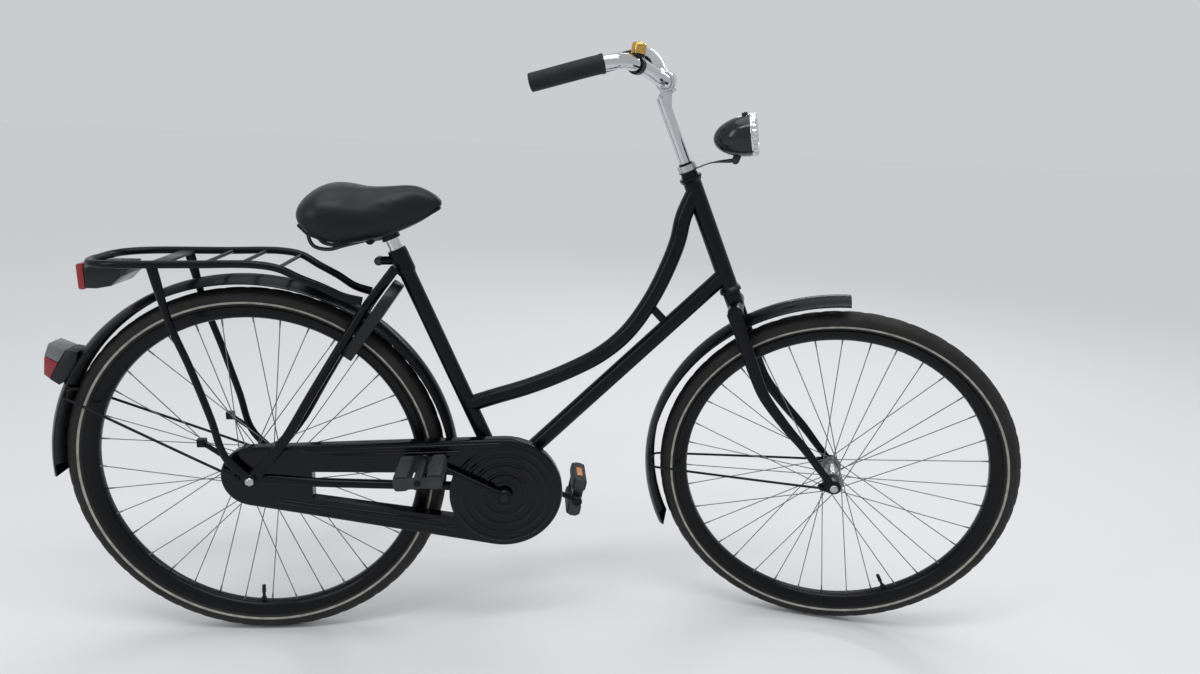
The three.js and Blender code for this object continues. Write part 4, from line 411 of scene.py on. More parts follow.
def sweep(bm, places, size_at, sides=20, across=(0, 1, 0)):
    """A bar along places, with half sizes across it and square to that"""
    side = Vector(across)
    rings = []
    for i, place in enumerate(places):
        along = (places[min(i + 1, len(places) - 1)] - places[max(i - 1, 0)]).normalized()
        side = (side - side.dot(along) * along).normalized()
        up = along.cross(side)
        half, height = size_at(i / (len(places) - 1))
        rings.append([place + side * half * math.cos(math.tau * k / sides)
                      + up * height * math.sin(math.tau * k / sides) for k in range(sides)])
    skin(bm, rings)


def tube(bm, places, radius, sides=20, across=(0, 1, 0)):
    sweep(bm, [Vector(place) for place in places], lambda share: (radius, radius), sides, across)


def spun(bm, profile, steps=48, place=(0, 0, 0), axis="Y"):
    """A profile of radius and place along the axis, turned about Y, Z or X"""
    verts = [bm.verts.new((radius, along, 0)) for radius, along in profile]
    edges = [bm.edges.new(pair) for pair in zip(verts, verts[1:])]
    made = bmesh.ops.spin(bm, geom=verts + edges, cent=(0, 0, 0), axis=(0, 1, 0), dvec=(0, 0, 0),
                          angle=math.tau, steps=steps, use_merge=True, use_duplicate=False)
    fresh = {v for e in edges for v in e.verts}
    stack = list(fresh)
    while stack:
        for edge in stack.pop().link_edges:
            for v in edge.verts:
                if v not in fresh:
                    fresh.add(v)
                    stack.append(v)
    fresh = list(fresh)
    bmesh.ops.remove_doubles(bm, verts=fresh, dist=1e-4)
    fresh = [v for v in fresh if v.is_valid]
    spin_to = {"Y": Matrix.Identity(4), "Z": turn(90, "X"), "X": turn(-90, "Z")}[axis]
    bmesh.ops.transform(bm, matrix=Matrix.Translation(place) @ spin_to, verts=fresh)
    return fresh


def plate(bm, outline, low, high, bevel=0.0, segments=3):
    """An outline in X and Z, given a thickness along Y and rounded edges"""
    verts = [bm.verts.new((x, low, z)) for x, z in outline]
    face = bm.faces.new(verts)
    made = bmesh.ops.extrude_face_region(bm, geom=[face])["geom"]
    top = [v for v in made if isinstance(v, bmesh.types.BMVert)]
    bmesh.ops.translate(bm, vec=(0, high - low, 0), verts=top)
    if bevel:
        rims = [e for v in (verts, top) for e in {e for w in v for e in w.link_edges}
                if all(x in v for x in e.verts)]
        bmesh.ops.bevel(bm, geom=rims, offset=bevel, segments=segments, profile=0.5, affect="EDGES",
                        material=-1, clamp_overlap=True)


def arc(x, z, radius, start, end, steps):
    return [(x + radius * math.cos(math.radians(lerp(start, end, i / steps))),
             z + radius * math.sin(math.radians(lerp(start, end, i / steps)))) for i in range(steps + 1)]


def wrapped(front, front_radius, rear, rear_radius, steps=24):
    """The outline of a belt drawn round two circles"""
    span = rear - front
    heading = math.degrees(math.atan2(span.z, span.x))
    spread = math.degrees(math.acos((front_radius - rear_radius) / span.length))
    return [*arc(front.x, front.z, front_radius, heading + spread, heading - spread + 360, steps),
            *arc(rear.x, rear.z, rear_radius, heading - spread, heading + spread, steps)]


def made_of(name, bm, body, materials, replaces=(), place=BIKE, angle=38):
    """Put a finished bmesh in the scene, on its body, standing for its CAD nodes"""
    bmesh.ops.recalc_face_normals(bm, faces=bm.faces)
    bmesh.ops.transform(bm, matrix=place, verts=bm.verts)
    for edge in bm.edges:
        edge.smooth = len(edge.link_faces) != 2 or edge.calc_face_angle() < math.radians(angle)
    for face in bm.faces:
        face.smooth = True
    mesh = bpy.data.meshes.new(name)
    bm.to_mesh(mesh)
    bm.free()
    piece = new_object(name, mesh)
    for material in materials if isinstance(materials, (list, tuple)) else [materials]:
        mesh.materials.append(material)
    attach(piece, body)
    if replaces:
        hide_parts(*([replaces] if isinstance(replaces, str) else replaces))
    print(name, len(mesh.polygons), "faces")
    return piece


# %% [markdown]
# Tyres. The tread is cut by pushing every few rows of the crown inwards, which gives small blocks
# between three grooves. The pale reflective line on each sidewall is its own strip of faces.

# %% Tyres
TYRE_WIDTH = 40
TYRE_STEPS = 270
GROOVE = 1.1


def tyre(name, body, node, place):
    bm = bmesh.new()
    centre, radius = WHEEL_RADIUS - TYRE_WIDTH / 2, TYRE_WIDTH / 2
    angles = [-128, -120, -114, -102, -94, -84, -72, -62, -54, -46, -38, -30, -22, -14, -6]
    angles += [-a for a in reversed(angles)]
    profile = [(314.5, -13.7), (322.5, -13.7)]
    profile += [(centre + radius * math.cos(math.radians(a)), radius * math.sin(math.radians(a))) for a in angles]
    profile += [(322.5, 13.7), (314.5, 13.7), (314.5, -13.7)]
    spun(bm, profile, TYRE_STEPS)
    for v in bm.verts:
        out = math.hypot(v.co.x, v.co.z)
        lean = abs(math.degrees(math.atan2(v.co.y, out - centre)))
        step = round(math.degrees(math.atan2(v.co.z, v.co.x)) / 360 * TYRE_STEPS) % TYRE_STEPS
        stagger = 2 if v.co.y > 0 else 0
        cut = (lean < 60 and (step + stagger) % 5 == 0) or 12 < lean < 16 or 36 < lean < 40
        if cut and lean < 66:
            v.co.x *= 1 - GROOVE / out
            v.co.z *= 1 - GROOVE / out
    for face in bm.faces:
        spot = face.calc_center_median()
        lean = abs(math.degrees(math.atan2(spot.y, math.hypot(spot.x, spot.z) - centre)))
        face.material_index = 1 if 103 < lean < 113 else 0
    made_of(name, bm, body, [TYRE, STRIPE], node, place, 30)


REAR_WHEEL = BIKE @ Matrix.Translation(REAR_AXLE)
FRONT_WHEEL = STEERED @ Matrix.Translation(RIM_AXLE)
tyre("rear_tyre_tread", "rear_wheel", "rear_tyre", REAR_WHEEL)
tyre("front_tyre_tread", "front_wheel", "front_tyre", FRONT_WHEEL)

# %% [markdown]
# Rims, hubs and spokes. Each spoke is a thin rod from a hub flange to the rim, crossing three others,
# with a small nipple where it enters the rim. The valve stands between two of them.

# %% Rims, hubs and spokes
SPOKES_A_SIDE = 18
RIM_PROFILE = [(322.5, -17), (323.2, -15.6), (322.5, -14), (311.2, -14), (311.2, 14), (322.5, 14), (323.2, 15.6),
               (322.5, 17), (316, 17), (311.5, 16.2), (307.5, 13.4), (303, 10.5), (300.6, 6), (300, 0),
               (300.6, -6), (303, -10.5), (307.5, -13.4), (311.5, -16.2), (316, -17), (322.5, -17)]


def rod(bm, start, end, radius, tip=None, sides=8):
    start, end = Vector(start), Vector(end)
    way = end - start
    matrix = Matrix.Translation((start + end) / 2) @ way.to_track_quat("Z", "Y").to_matrix().to_4x4()
    bmesh.ops.create_cone(bm, cap_ends=True, segments=sides, radius1=radius, radius2=tip or radius,
                          depth=way.length, matrix=matrix)


def hub_profile(width, spacing, flange_radius, barrel):
    half = spacing / 2
    right = [(barrel - 3, -width / 2), (barrel - 0.5, -half - 6), (barrel, -half - 2.5), (flange_radius - 1, -half - 1.6),
             (flange_radius, -half - 0.8), (flange_radius, -half + 0.8), (flange_radius - 1, -half + 1.6),
             (barrel + 2, -half + 2.5), (barrel, -half + 6)]
    return [(5.2, -width / 2), *right, *[(r, -y) for r, y in reversed(right)], (5.2, width / 2)]


def wheel(name, body, place, hub, hub_finish, valve_turn):
    bm = bmesh.new()
    spun(bm, RIM_PROFILE, 128)
    made_of(f"{name}_rim_bed", bm, body, RIM_BLACK, f"{name}_rim", place, 30)
    bm = bmesh.new()
    spun(bm, hub_profile(*hub), 40)
    pitch = 360 / SPOKES_A_SIDE
    for side in (-1, 1):
        for k in range(SPOKES_A_SIDE):
            lean = 1 if k % 2 else -1
            start = pitch * (k + (side + 1) / 4)
            end = start + lean * pitch * 3
            root = polar(hub[2] - 3, start, side * hub[1] / 2 + lean * 1.3)
            tip = polar(300, end, side * 4 + lean)
            rod(bm, root, tip, 1.0)
            rod(bm, lerp(tip, root, 0.045), tip, 1.5, 1.9, 6)
    made_of(f"{name}_spokes", bm, body, hub_finish, f"{name}_hub_and_spokes", place, 30)
    bm = bmesh.new()
    foot, top = polar(301, valve_turn), polar(266, valve_turn)
    rod(bm, foot, top, 3.1, 3.0, 16)
    rod(bm, lerp(foot, top, 0.1), lerp(foot, top, 0.2), 5.6, 5.6, 6)
    rod(bm, lerp(foot, top, 0.55), top, 4.0, 3.6, 16)
    made_of(f"{name}_valve", bm, body, RUBBER, (), place, 30)


SPOKE_STEEL = finish("spoke_steel", (0.2, 0.2, 0.205), 0.36, 0.9, drift=0.2, patch=60, relief=0.05)
wheel("rear", "rear_wheel", REAR_WHEEL, (64, 54, 34, 26), SPOKE_STEEL, -93)
wheel("front", "front_wheel", FRONT_WHEEL, (92, 66, 21, 13), SPOKE_STEEL, -85)
bm = bmesh.new()
spun(bm, [(13.2, -30), (13.4, -28), (13.4, 28), (13.2, 30)], 40)
made_of("front_hub_barrel", bm, "front_wheel", STEEL, (), FRONT_WHEEL)

# %% [markdown]
# The frame. Round steel tubes meet at the bracket shell, the seat lug and the head tube. Each tube
# is swept at the size of the CAD's, with many more sides, and the joints get a small brazed collar.

# %% Main frame
SWAN_NECK = [(0.956, 0.886), (0.939, 0.786), (0.908, 0.685), (0.831, 0.51), (0.725, 0.352),
             (0.61, 0.251), (0.468, 0.172), (0.283, 0.093), (0.12, 0.04)]
HEAD_TUBE = (442, 678)
swan_from, swan_to = on_seat(181), on_head(650)
neck = spline([swan_to, *(Vector((lerp(swan_from.x, swan_to.x, x), 0, lerp(swan_from.z, swan_to.z, z)))
                          for x, z in SWAN_NECK), swan_from], 64)
down_top, down_foot = on_head(478), BRACKET + Vector((-13, 0, 8))
down_way = (down_top - down_foot).normalized()
bridge_top = neck[round(0.36 * 64)]
bridge_foot = down_foot + down_way * (bridge_top - down_foot).dot(down_way)
HEAD_PROFILE = [(13.7, 442), (21, 442), (21, 447), (19.5, 448.5), (19.5, 450), (17, 453), (17, 667), (19.5, 670),
                (19.5, 671.5), (21, 673), (21, 678), (13.7, 678)]

bm = bmesh.new()
tube(bm, neck, 16, 32)
tube(bm, [down_top, down_foot], 16, 32)
tube(bm, [on_seat(0), on_seat(511.5)], 15, 32)
sweep(bm, spline([on_seat(462), on_seat(466), on_seat(508), on_seat(512)], 8),
      between([(0, 15.2, 15.2), (0.12, 18, 18), (0.92, 18, 18), (1, 17, 17)]), 32)
tube(bm, [bridge_top, bridge_foot], 8, 24)
sweep(bm, [on_seat(489), on_seat(504, -38)], lambda share: (10, 8), 24)
verts = spun(bm, [(0, -10), (7, -10), (8, -9), (8, 9), (7, 10), (0, 10)], 24, on_seat(504, -38))
spun(bm, [(8.5, -34), (20.5, -34), (22, -32.5), (22, 32.5), (20.5, 34), (8.5, 34)], 48, BRACKET)
fresh = spun(bm, HEAD_PROFILE, 48, (0, 0, 0), "Z")
bmesh.ops.transform(bm, matrix=Matrix.Translation(HEAD_FOOT) @ turn(-HEAD_TILT, "Y"), verts=fresh)
made_of("frame_tubes", bm, "frame", BLACK_PAINT, "main_frame")

# %% [markdown]
# Stays, fork and carrier. These bars change section along the way: round in the middle and flattened
# at the ends, where they meet a lug or go on the axle. A table of sizes along the way says how.

# %% Chain stays, seat stays and dropouts
SIDES = (("right", -1), ("left", 1))
CHAIN_STAY = [(0, 0), (0.17, 0.2), (0.3, 0.36), (0.5, 0.6), (0.7, 0.82), (0.88, 0.98), (1, 1)]
SEAT_STAY = [(0, 0, 0), (0.1, -0.26, 0.08), (0.16, -0.38, 0.25), (0.25, -0.35, 0.42), (0.37, -0.1, 0.58),
             (0.588, 0.44, 0.8), (0.79, 1.03, 0.99), (0.9, 0.7, 1.01), (1, 0, 1)]
DROPOUT = 59


def scaled(table, radius):
    sizes = between(table)
    return lambda share: [radius * size for size in sizes(share)]


def eye(bm, place, radius, start, end, bore=5.3):
    low, high = sorted((start, end))
    spun(bm, [(bore, low), (radius - 0.5, low), (radius, low + 0.5), (radius, high - 0.5), (radius - 0.5, high),
              (bore, high), (bore, low)], 32, place)


for name, side in SIDES:
    bm = bmesh.new()
    root = Vector((456, side * 25, 326))
    tip = Vector((0, side * (DROPOUT + 2.5), WHEEL_RADIUS))
    way = [Vector((lerp(root.x, tip.x, a), lerp(root.y, tip.y, b), lerp(root.z, tip.z, a))) for a, b in CHAIN_STAY]
    sweep(bm, spline(way[:-1] + [lerp(way[-2], way[-1], 0.8)], 30),
          scaled([(0, 1, 1), (0.72, 1, 1), (0.92, 0.28, 1), (1, 0.26, 0.9)], 9))
    lobe = Vector((-24, 0, WHEEL_RADIUS + 5))
    plate(bm, wrapped(REAR_AXLE, 15, lobe, 7, 16), *sorted((side * DROPOUT, side * (DROPOUT + 5))), 0.8, 2)
    spun(bm, [(0, side * 58.6), (4.4, side * 58.6), (4.4, side * 64.8), (0, side * 64.8)], 16, lobe)
    made_of(f"chain_stay_bar_{name}", bm, "frame", BLACK_PAINT, f"chain_stay_{name}")

    bm = bmesh.new()
    top = on_seat(482, -13)
    run = (REAR_AXLE - top).normalized()
    forward = Vector((-run.z, 0, run.x))
    way = []
    for along, bow, spread in SEAT_STAY:
        place = lerp(top, REAR_AXLE, along) + forward * 10 * bow
        place.y = lerp(side * 22.55, side * 65.8, spread)
        way.append(place)
    sweep(bm, spline(way, 40), scaled([(0, 0.5, 1), (0.08, 0.6, 1), (0.18, 1, 1), (0.7, 1, 1), (0.82, 0.6, 1.05),
                                       (0.93, 0.18, 1.2), (1, 0.18, 1.2)], 8.5))
    eye(bm, REAR_AXLE, 12, side * 64.3, side * 67.3)
    made_of(f"seat_stay_bar_{name}", bm, "frame", BLACK_PAINT, f"seat_stay_{name}")

# %% Fork
BLADE = [(0, -0.04, 0), (0.18, -0.04, 0.25), (0.38, -0.04, 0.5), (0.45, 0, 0.6), (0.63, 0.3, 0.8),
         (0.76, 0.58, 0.94), (0.89, 0.8, 1), (1, 1, 1)]
CROWN = 410
bm = bmesh.new()
spun(bm, [(11.4, 430), (12.7, 431), (12.7, 705), (11.4, 705.5)], 32, (0, 0, 0), "Z")
spun(bm, [(0, CROWN), (16.5, CROWN), (17, CROWN + 1), (17, 440), (16, 441.4), (12, 441.4)], 32, (0, 0, 0), "Z")
spun(bm, [(12.8, 678.5), (16, 678.5), (16, 682), (14.5, 687), (12.8, 687)], 32, (0, 0, 0), "Z")
sweep(bm, [Vector((0, y, CROWN)) for y in (-48.5, -47, -42, 0, 42, 47, 48.5)],
      lambda share: (15 - 6 * abs(2 * share - 1) ** 6, 14 - 4 * abs(2 * share - 1) ** 6), 28, (1, 0, 0))
spun(bm, [(0, 374), (8, 374), (10, 378), (10, 400)], 24, (0, 0, 0), "Z")
front_lobe = RIM_AXLE + polar(24, 183.5 - HEAD_TILT)
for name, side in SIDES:
    way = [Vector((FORK_RAKE * f, side * lerp(39, 52.5, s), CROWN * (1 - d))) for d, f, s in BLADE]
    places = spline(way[:-1] + [lerp(way[-2], way[-1], 0.85)], 36)
    sweep(bm, places, lambda share: (lerp(9.5, 4.75, share) if share < 0.9 else lerp(4.9, 2.5, (share - 0.9) * 10),
                                     lerp(14.5, 7.25, share)), 24)
    plate(bm, wrapped(RIM_AXLE, 15, front_lobe, 7, 16), *sorted((side * 50, side * 55)), 0.8, 2)
made_of("fork_tubes", bm, "steering", BLACK_PAINT, "fork", STEERED)

# %% [markdown]
# Fenders. A fender's section is a shallow arch, carried round an arc about the axle, with both edges
# rolled over a wire. The wire stays run out from the dropouts and cross under the fender.

# %% Fenders and their wire stays
FENDER_HALF = 28.5
FENDER_DROP = 14


def fender(name, node, body, radius, start, end, place):
    bm = bmesh.new()
    shares = [s / 10 for s in range(-10, 11)]
    outer = [(s * FENDER_HALF, -FENDER_DROP * s * s) for s in shares]
    hem = [(FENDER_HALF + 0.5, -FENDER_DROP - 1.0), (FENDER_HALF - 0.3, -FENDER_DROP - 2.0),
           (FENDER_HALF - 1.6, -FENDER_DROP - 1.6)]
    inner = [(s * (FENDER_HALF - 1.6), -1.6 - (FENDER_DROP - 1.6) * s * s) for s in reversed(shares)]
    section = outer + hem + inner + [(-y, z) for y, z in reversed(hem)]
    steps = 90
    skin(bm, [[polar(radius + out, lerp(start, end, i / steps), across) for across, out in section]
              for i in range(steps + 1)])
    made_of(name, bm, body, BLACK_PAINT, node, place, 50)


def fender_stay(name, node, body, radius, degrees, foot, place):
    edge, crown = radius - 14 - 1.6 - 2.5 - 1.6, radius - 1.6 - 2.5 - 1.6
    ways = []
    for sign in (-1, 1):
        start = Vector((foot.x, sign * foot.y, foot.z))
        ways.append([start, start + polar(14, degrees), polar(edge - 20, degrees, sign * 31.5),
                     polar(edge, degrees, sign * 28.5), polar((edge + crown) / 2, degrees, sign * 17)])
    bm = bmesh.new()
    tube(bm, spline(ways[0] + [polar(crown, degrees)] + ways[1][::-1], 72), 2.5, 14, polar(1, degrees + 90))
    for sign in (-1, 1):
        head = Vector((foot.x, 0, foot.z))
        low, high = sorted((sign * (foot.y - 3.4), sign * (foot.y + 4.2)))
        spun(bm, [(0, low), (4.6, low), (5.2, low + 0.8), (5.2, high - 1), (4.2, high), (0, high)], 6, head)
    made_of(name, bm, body, BLACK_PAINT, node, place)


fender("rear_fender_sheet", "rear_fender", "frame", 383, 3, 182, REAR_WHEEL)
fender("front_fender_sheet", "front_fender", "steering", 390, 93 - HEAD_TILT, 206 - HEAD_TILT, FRONT_WHEEL)
fender_stay("rear_fender_wire", "rear_fender_stay", "frame", 383, 156.5, Vector((-24, 66.8, 5)), REAR_WHEEL)
front_foot = polar(24, 183.5 - HEAD_TILT, 57.8)
fender_stay("front_fender_wire", "front_fender_stay", "steering", 390, 183.5 - HEAD_TILT, front_foot, FRONT_WHEEL)

# %% Carrier
CARRIER = [(1, 1, 0.58), (0.93, 0.87, 0.64), (0.86, 0.6, 0.76), (0.78, 0.34, 0.87), (0.71, 0.09, 0.96), (0.63, 0, 1),
           (0.4, 0.04, 1), (0.1, 0.1, 1), (0.03, 0.12, 0.8), (0, 0.13, 0.4), (0, 0.13, 0)]
LEG = [(0, 1, 1), (0.246, 0.95, 0.85), (0.455, 0.6, 0.65), (0.69, 0.4, 0.448), (0.886, 0.22, 0.299), (1, 0, 0)]


def carrier_place(x, drop, y, side):
    return Vector((lerp(-256, 212, x), side * 78 * y, 771 - 68 * drop))


carrier_drop = between([row[:2] for row in reversed(CARRIER[:-1])])
rail = [carrier_place(*row, -1) for row in CARRIER] + [carrier_place(*row, 1) for row in CARRIER[-2::-1]]
bm = bmesh.new()
sweep(bm, spline(rail, 120), scaled([(0, 1.2, 0.4), (0.05, 1.1, 0.5), (0.09, 1, 1), (0.91, 1, 1), (0.95, 1.1, 0.5),
                                     (1, 1.2, 0.4)], 7), 20, (0, 0, 1))
for share in (0.439, 0.57, 0.708):
    x, z = lerp(-256, 212, share), 771 - 68 * carrier_drop(share)[0]
    tube(bm, [(x, -77, z), (x, 77, z)], 3.5, 16, (0, 0, 1))
x, z = lerp(-256, 212, 0.27), 771 - 68 * carrier_drop(0.27)[0]
plate(bm, [(x - 13, z - 2), (x + 13, z - 2), (x + 13, z + 2), (x - 13, z + 2)], -78, 78, 0.7, 2)
made_of("carrier_tubes", bm, "frame", BLACK_PAINT, "carrier_frame")
for name, side in SIDES:
    bm = bmesh.new()
    top = Vector((-134, side * 78, 764))
    foot = Vector((0, side * 68.85, WHEEL_RADIUS))
    way = spline([Vector((lerp(foot.x, top.x, x), lerp(foot.y, top.y, s), lerp(top.z, foot.z, d)))
                  for d, s, x in LEG], 40)
    sweep(bm, way, scaled([(0, 0.5, 1.5), (0.07, 0.6, 1.4), (0.16, 1, 1), (0.8, 1, 1), (0.93, 0.2, 1.3),
                           (1, 0.2, 1.3)], 6.5))
    root = way[round(0.862 * 40)]
    tip = root + Vector((-38, 0, 28))
    sweep(bm, [root, tip], lambda share: (2.5, 5), 16)
    plate(bm, [(tip.x - 7.5, tip.z - 7.5), (tip.x + 7.5, tip.z - 7.5), (tip.x + 7.5, tip.z + 7.5),
               (tip.x - 7.5, tip.z + 7.5)], tip.y - 7.5, tip.y + 7.5, 2.2, 3)
    eye(bm, REAR_AXLE, 12, side * 67.6, side * 70.1)
    made_of(f"carrier_leg_bar_{name}", bm, "frame", BLACK_PAINT, f"carrier_leg_{name}")

# %% [markdown]
# Handlebar, stem and grips. Chrome shows every facet, so the bar is swept with many sides. The
# grips are rubber sleeves with fine rings round them, a flange at the hand side and a flat end.

# %% Handlebar, stem, grips and bell
BAR = [(0, 0, 0), (0.1, 0.01, 0), (0.221, 0.2, 0.05), (0.421, 0.4, 0.084), (0.621, 0.5625, 0.129),
       (0.779, 0.7, 0.191), (0.9, 0.78, 0.3), (1, 1, 1)]
BAR_STEPS = 152
BAR_RADIUS = 12.5


def bar_point(side, row):
    return Vector((17 - 178 * row[2], side * 190 * row[0], 853 + 80 * row[1]))


bar_way = spline([bar_point(-1, row) for row in BAR[:0:-1]] + [bar_point(1, row) for row in BAR], BAR_STEPS)
bar_length = sum((b - a).length for a, b in zip(bar_way, bar_way[1:]))
bm = bmesh.new()
tube(bm, bar_way, BAR_RADIUS, 28, (0, 0, 1))
made_of("handlebar_tube", bm, "steering", CHROME, "handlebar", STEERED)

for name, side in SIDES:
    bm = bmesh.new()
    half = bar_way if side < 0 else bar_way[::-1]
    count = round(BAR_STEPS * 120 / bar_length)
    run = [half[0] + (half[0] - half[1]).normalized() * 4.3, *half[:count + 1]]
    rings = spline(run, 96)
    last = len(rings) - 1

    def grip_size(share):
        k = round(share * last)
        if k == 0:
            return 13.4, 13.4
        if k < 3:
            return 15.2, 15.2
        if k > last - 5:
            return 15.9, 15.9
        rib = 0.45 if k % 2 else 0
        return 15.4 - rib, 15.4 - rib

    sweep(bm, rings, grip_size, 28, (0, 0, 1))
    made_of(f"grip_sleeve_{name}", bm, "steering", RUBBER, f"grip_{name}", STEERED, 60)

bm = bmesh.new()
spun(bm, [(0, 636), (11.1, 636), (11.1, 829), (9.5, 831), (0, 831)], 40, (0, 0, 0), "Z")
tube(bm, [(0, 0, 809), (17, 0, 853)], 11.1, 32)
spun(bm, [(12.7, -18), (17.2, -18), (18, -17.2), (18, 17.2), (17.2, 18), (12.7, 18)], 48, (17, 0, 853))
spun(bm, [(0, 829), (6.2, 829), (6.2, 834), (5.4, 836), (0, 836)], 6, (0, 0, 0), "Z")
spun(bm, [(0, 835), (3.4, 835), (3, 836.6), (0, 836.6)], 12, (0, 0, 0), "Z")
tube(bm, [(24, 0, 838), (25, 0, 831)], 4.2, 18)
made_of("stem_quill", bm, "steering", CHROME, "stem", STEERED)

low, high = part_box("bell_dome")
bell_middle = (low + high) / 2
bell_up = Vector((0.09499, 0.0308, 0.995))
bell_place = (Matrix.Translation(bell_middle) @ bell_up.to_track_quat("Z", "Y").to_matrix().to_4x4()
              @ Matrix.Scale(MM, 4))
bm = bmesh.new()
spun(bm, [(0, -9.5), (12.2, -9.5), (12.5, -9), (12.5, 4), (11.9, 6.4), (10.2, 8), (7.5, 9), (3.2, 9.5), (0, 9.5)],
     48, (0, 0, 0), "Z")
spun(bm, [(0, 9.4), (2.6, 9.4), (2.6, 10.2), (1.6, 10.9), (0, 11)], 20, (0, 0, 0), "Z")
made_of("bell_cup", bm, "steering", BRASS, "bell_dome", bell_place)

# %% [markdown]
# The headlamp is a spun steel bullet with a fluted bright rim. Behind the glass is a real reflector
# bowl with a bulb in it, because a lamp with nothing inside looks like a button.

# %% Headlamp
BULLET = [(0, 0), (0.12, 0.006), (0.27, 0.035), (0.41, 0.085), (0.55, 0.16), (0.68, 0.26), (0.79, 0.38), (0.88, 0.51),
          (0.95, 0.66), (0.99, 0.83), (1, 1)]
lamp_pivot_z = 442 + 236 + 0.3 + 9 + 0.3 - 10
LAMP = (STEERED @ Matrix.Translation((88, 0, lamp_pivot_z)) @ turn(LAMP_DIP, "Y")
        @ Matrix.Translation((0, 0, 41)))
bm = bmesh.new()
spun(bm, [(37 * r, lerp(-36, 31.7, s)) for r, s in BULLET], 64, (0, 0, 0), "X")
spun(bm, [(37, 24), (37.5, 24.6), (37.5, 26.4), (37, 27)], 64, (0, 0, 0), "X")
spun(bm, [(0, 33), (5.4, 33), (5.4, 39), (4.6, 41.6), (0, 42)], 24, (23.6, 0, 0), "Z")
for side in (-1, 1):
    plate(bm, wrapped(Vector((0, 0, -41)), 7, Vector((8, 0, -26)), 7, 12), *sorted((side * 2.3, side * 4.8)), 0.5, 2)
made_of("headlamp_bullet", bm, "headlamp", finish("lamp_black", (0.005, 0.006, 0.008), 0.22, drift=0.2, grain=300,
        relief=0.05, coat=0.3, shine=0.3), "headlamp_shell", LAMP)
bm = bmesh.new()
RIM = [(37, 32), (38.2, 32.2), (38.5, 33), (38.5, 35), (37.6, 35.8), (38.4, 36.6), (38.4, 40.6), (37.4, 42.4),
       (35.4, 43.6), (33.4, 44), (32.2, 43.4), (32, 42), (32, 36)]
spun(bm, RIM, 216, (0, 0, 0), "X")
for v in bm.verts:
    if 36 < v.co.x < 42:
        flute = 1 + 0.03 * math.cos(24 * math.atan2(v.co.z, v.co.y))
        v.co.y *= flute - 0.022
        v.co.z *= flute - 0.022
made_of("headlamp_bezel", bm, "headlamp", CHROME, "headlamp_rim", LAMP, 50)
bm = bmesh.new()
spun(bm, [(31.6, 37), (31.6, 39), (30, 39.7), (24, 41.3), (16, 42.5), (8, 43), (0, 43.2)], 64, (0, 0, 0), "X")
made_of("headlamp_glass", bm, "headlamp", CLEAR_LENS, "headlamp_lens", LAMP)
bm = bmesh.new()
spun(bm, [(31.4, 36.6), (28, 26), (22, 14), (14, 5), (7, 1), (5, 0.6), (5, 3), (0, 3)], 64, (0, 0, 0), "X")
spun(bm, [(0, 18), (3, 17), (4.6, 13.5), (4.2, 9), (3, 5), (3, 2)], 24, (0, 0, 0), "X")
made_of("headlamp_reflector", bm, "headlamp", CHROME, (), LAMP)

# %% [markdown]
# Chain case. A pressed case rounds over at its edge, so the outline is grown inwards in steps that
# follow a small curve. Its front disc has rings pressed in round the crank, and thin ridges follow
# the chain's two runs. The rear end is a separate cap with a visible joint.

# %% Chain case
CASE_OUT = -56.8
CASE_EDGE = [(0, -46), (0, -50), (0.6, -52.8), (2.0, -55), (4.2, -56.4), (6.5, -56.8)]


def window(grown):
    end = arc(BRACKET.x, BRACKET.z, 107 - grown, 209, 156, 24)
    end[-1] = (end[-1][0], 370.5 + grown)
    return [(110 - grown, 370.5 + grown), (110 - grown, 314.5 - grown), *end]


bm = bmesh.new()
rings = [[Vector((x, depth, z)) for x, z in wrapped(BRACKET, 113.5 - inset, REAR_AXLE, 60 - inset, 48)]
         for inset, depth in CASE_EDGE]
skin(bm, rings, capped=False)
edge_loop = [e for e in bm.edges if len(e.link_faces) == 1 and all(abs(v.co.y - CASE_OUT) < 0.01 for v in e.verts)]
hole = [bm.verts.new((x, CASE_OUT, z)) for x, z in window(0)]
hole_edges = [bm.edges.new((hole[i], hole[(i + 1) % len(hole)])) for i in range(len(hole))]
bmesh.ops.triangle_fill(bm, edges=edge_loop + hole_edges, use_beauty=True, normal=(0, -1, 0))
grow(bm, hole, [(v.co.x, -34.6, v.co.z) for v in hole])
made_of("chain_case_shell", bm, "frame", GLOSS_BLACK, ("chain_case_outer", "chain_case_rear_cap"),
        angle=25)

bm = bmesh.new()
for radius in (98, 82, 64, 44):
    spun(bm, [(radius - 5, CASE_OUT + 0.2), (radius - 3, CASE_OUT - 0.8), (radius - 1, CASE_OUT - 2.1),
              (radius + 1, CASE_OUT - 2.1), (radius + 3, CASE_OUT - 0.8), (radius + 5, CASE_OUT + 0.2)], 128, BRACKET)
spun(bm, [(15, CASE_OUT + 1), (15, CASE_OUT - 1.8), (19, CASE_OUT - 2.2), (26, CASE_OUT - 1.4),
          (30, CASE_OUT + 0.2)], 64, BRACKET)
for start, end in (((91, 411), (470, 429)), ((146, 402), (392, 412)), ((40, 311), (385, 250)), ((120, 299), (372, 262))):
    a, b = Vector((start[0], CASE_OUT, start[1])), Vector((end[0], CASE_OUT, end[1]))
    sweep(bm, [lerp(a, b, s) for s in (0, 0.01, 0.03, 0.5, 0.97, 0.99, 1)],
          between([(0, 0.2, 0.9), (0.17, 1.6, 3.4), (0.34, 2.6, 5), (0.66, 2.6, 5), (0.83, 1.6, 3.4),
                   (1, 0.2, 0.9)]), 20)
low_x, high_x = 57.2, 58.8
plate(bm, [(low_x, 411), (low_x, 372), (high_x, 372), (high_x, 411)], CASE_OUT - 0.5, CASE_OUT + 1)
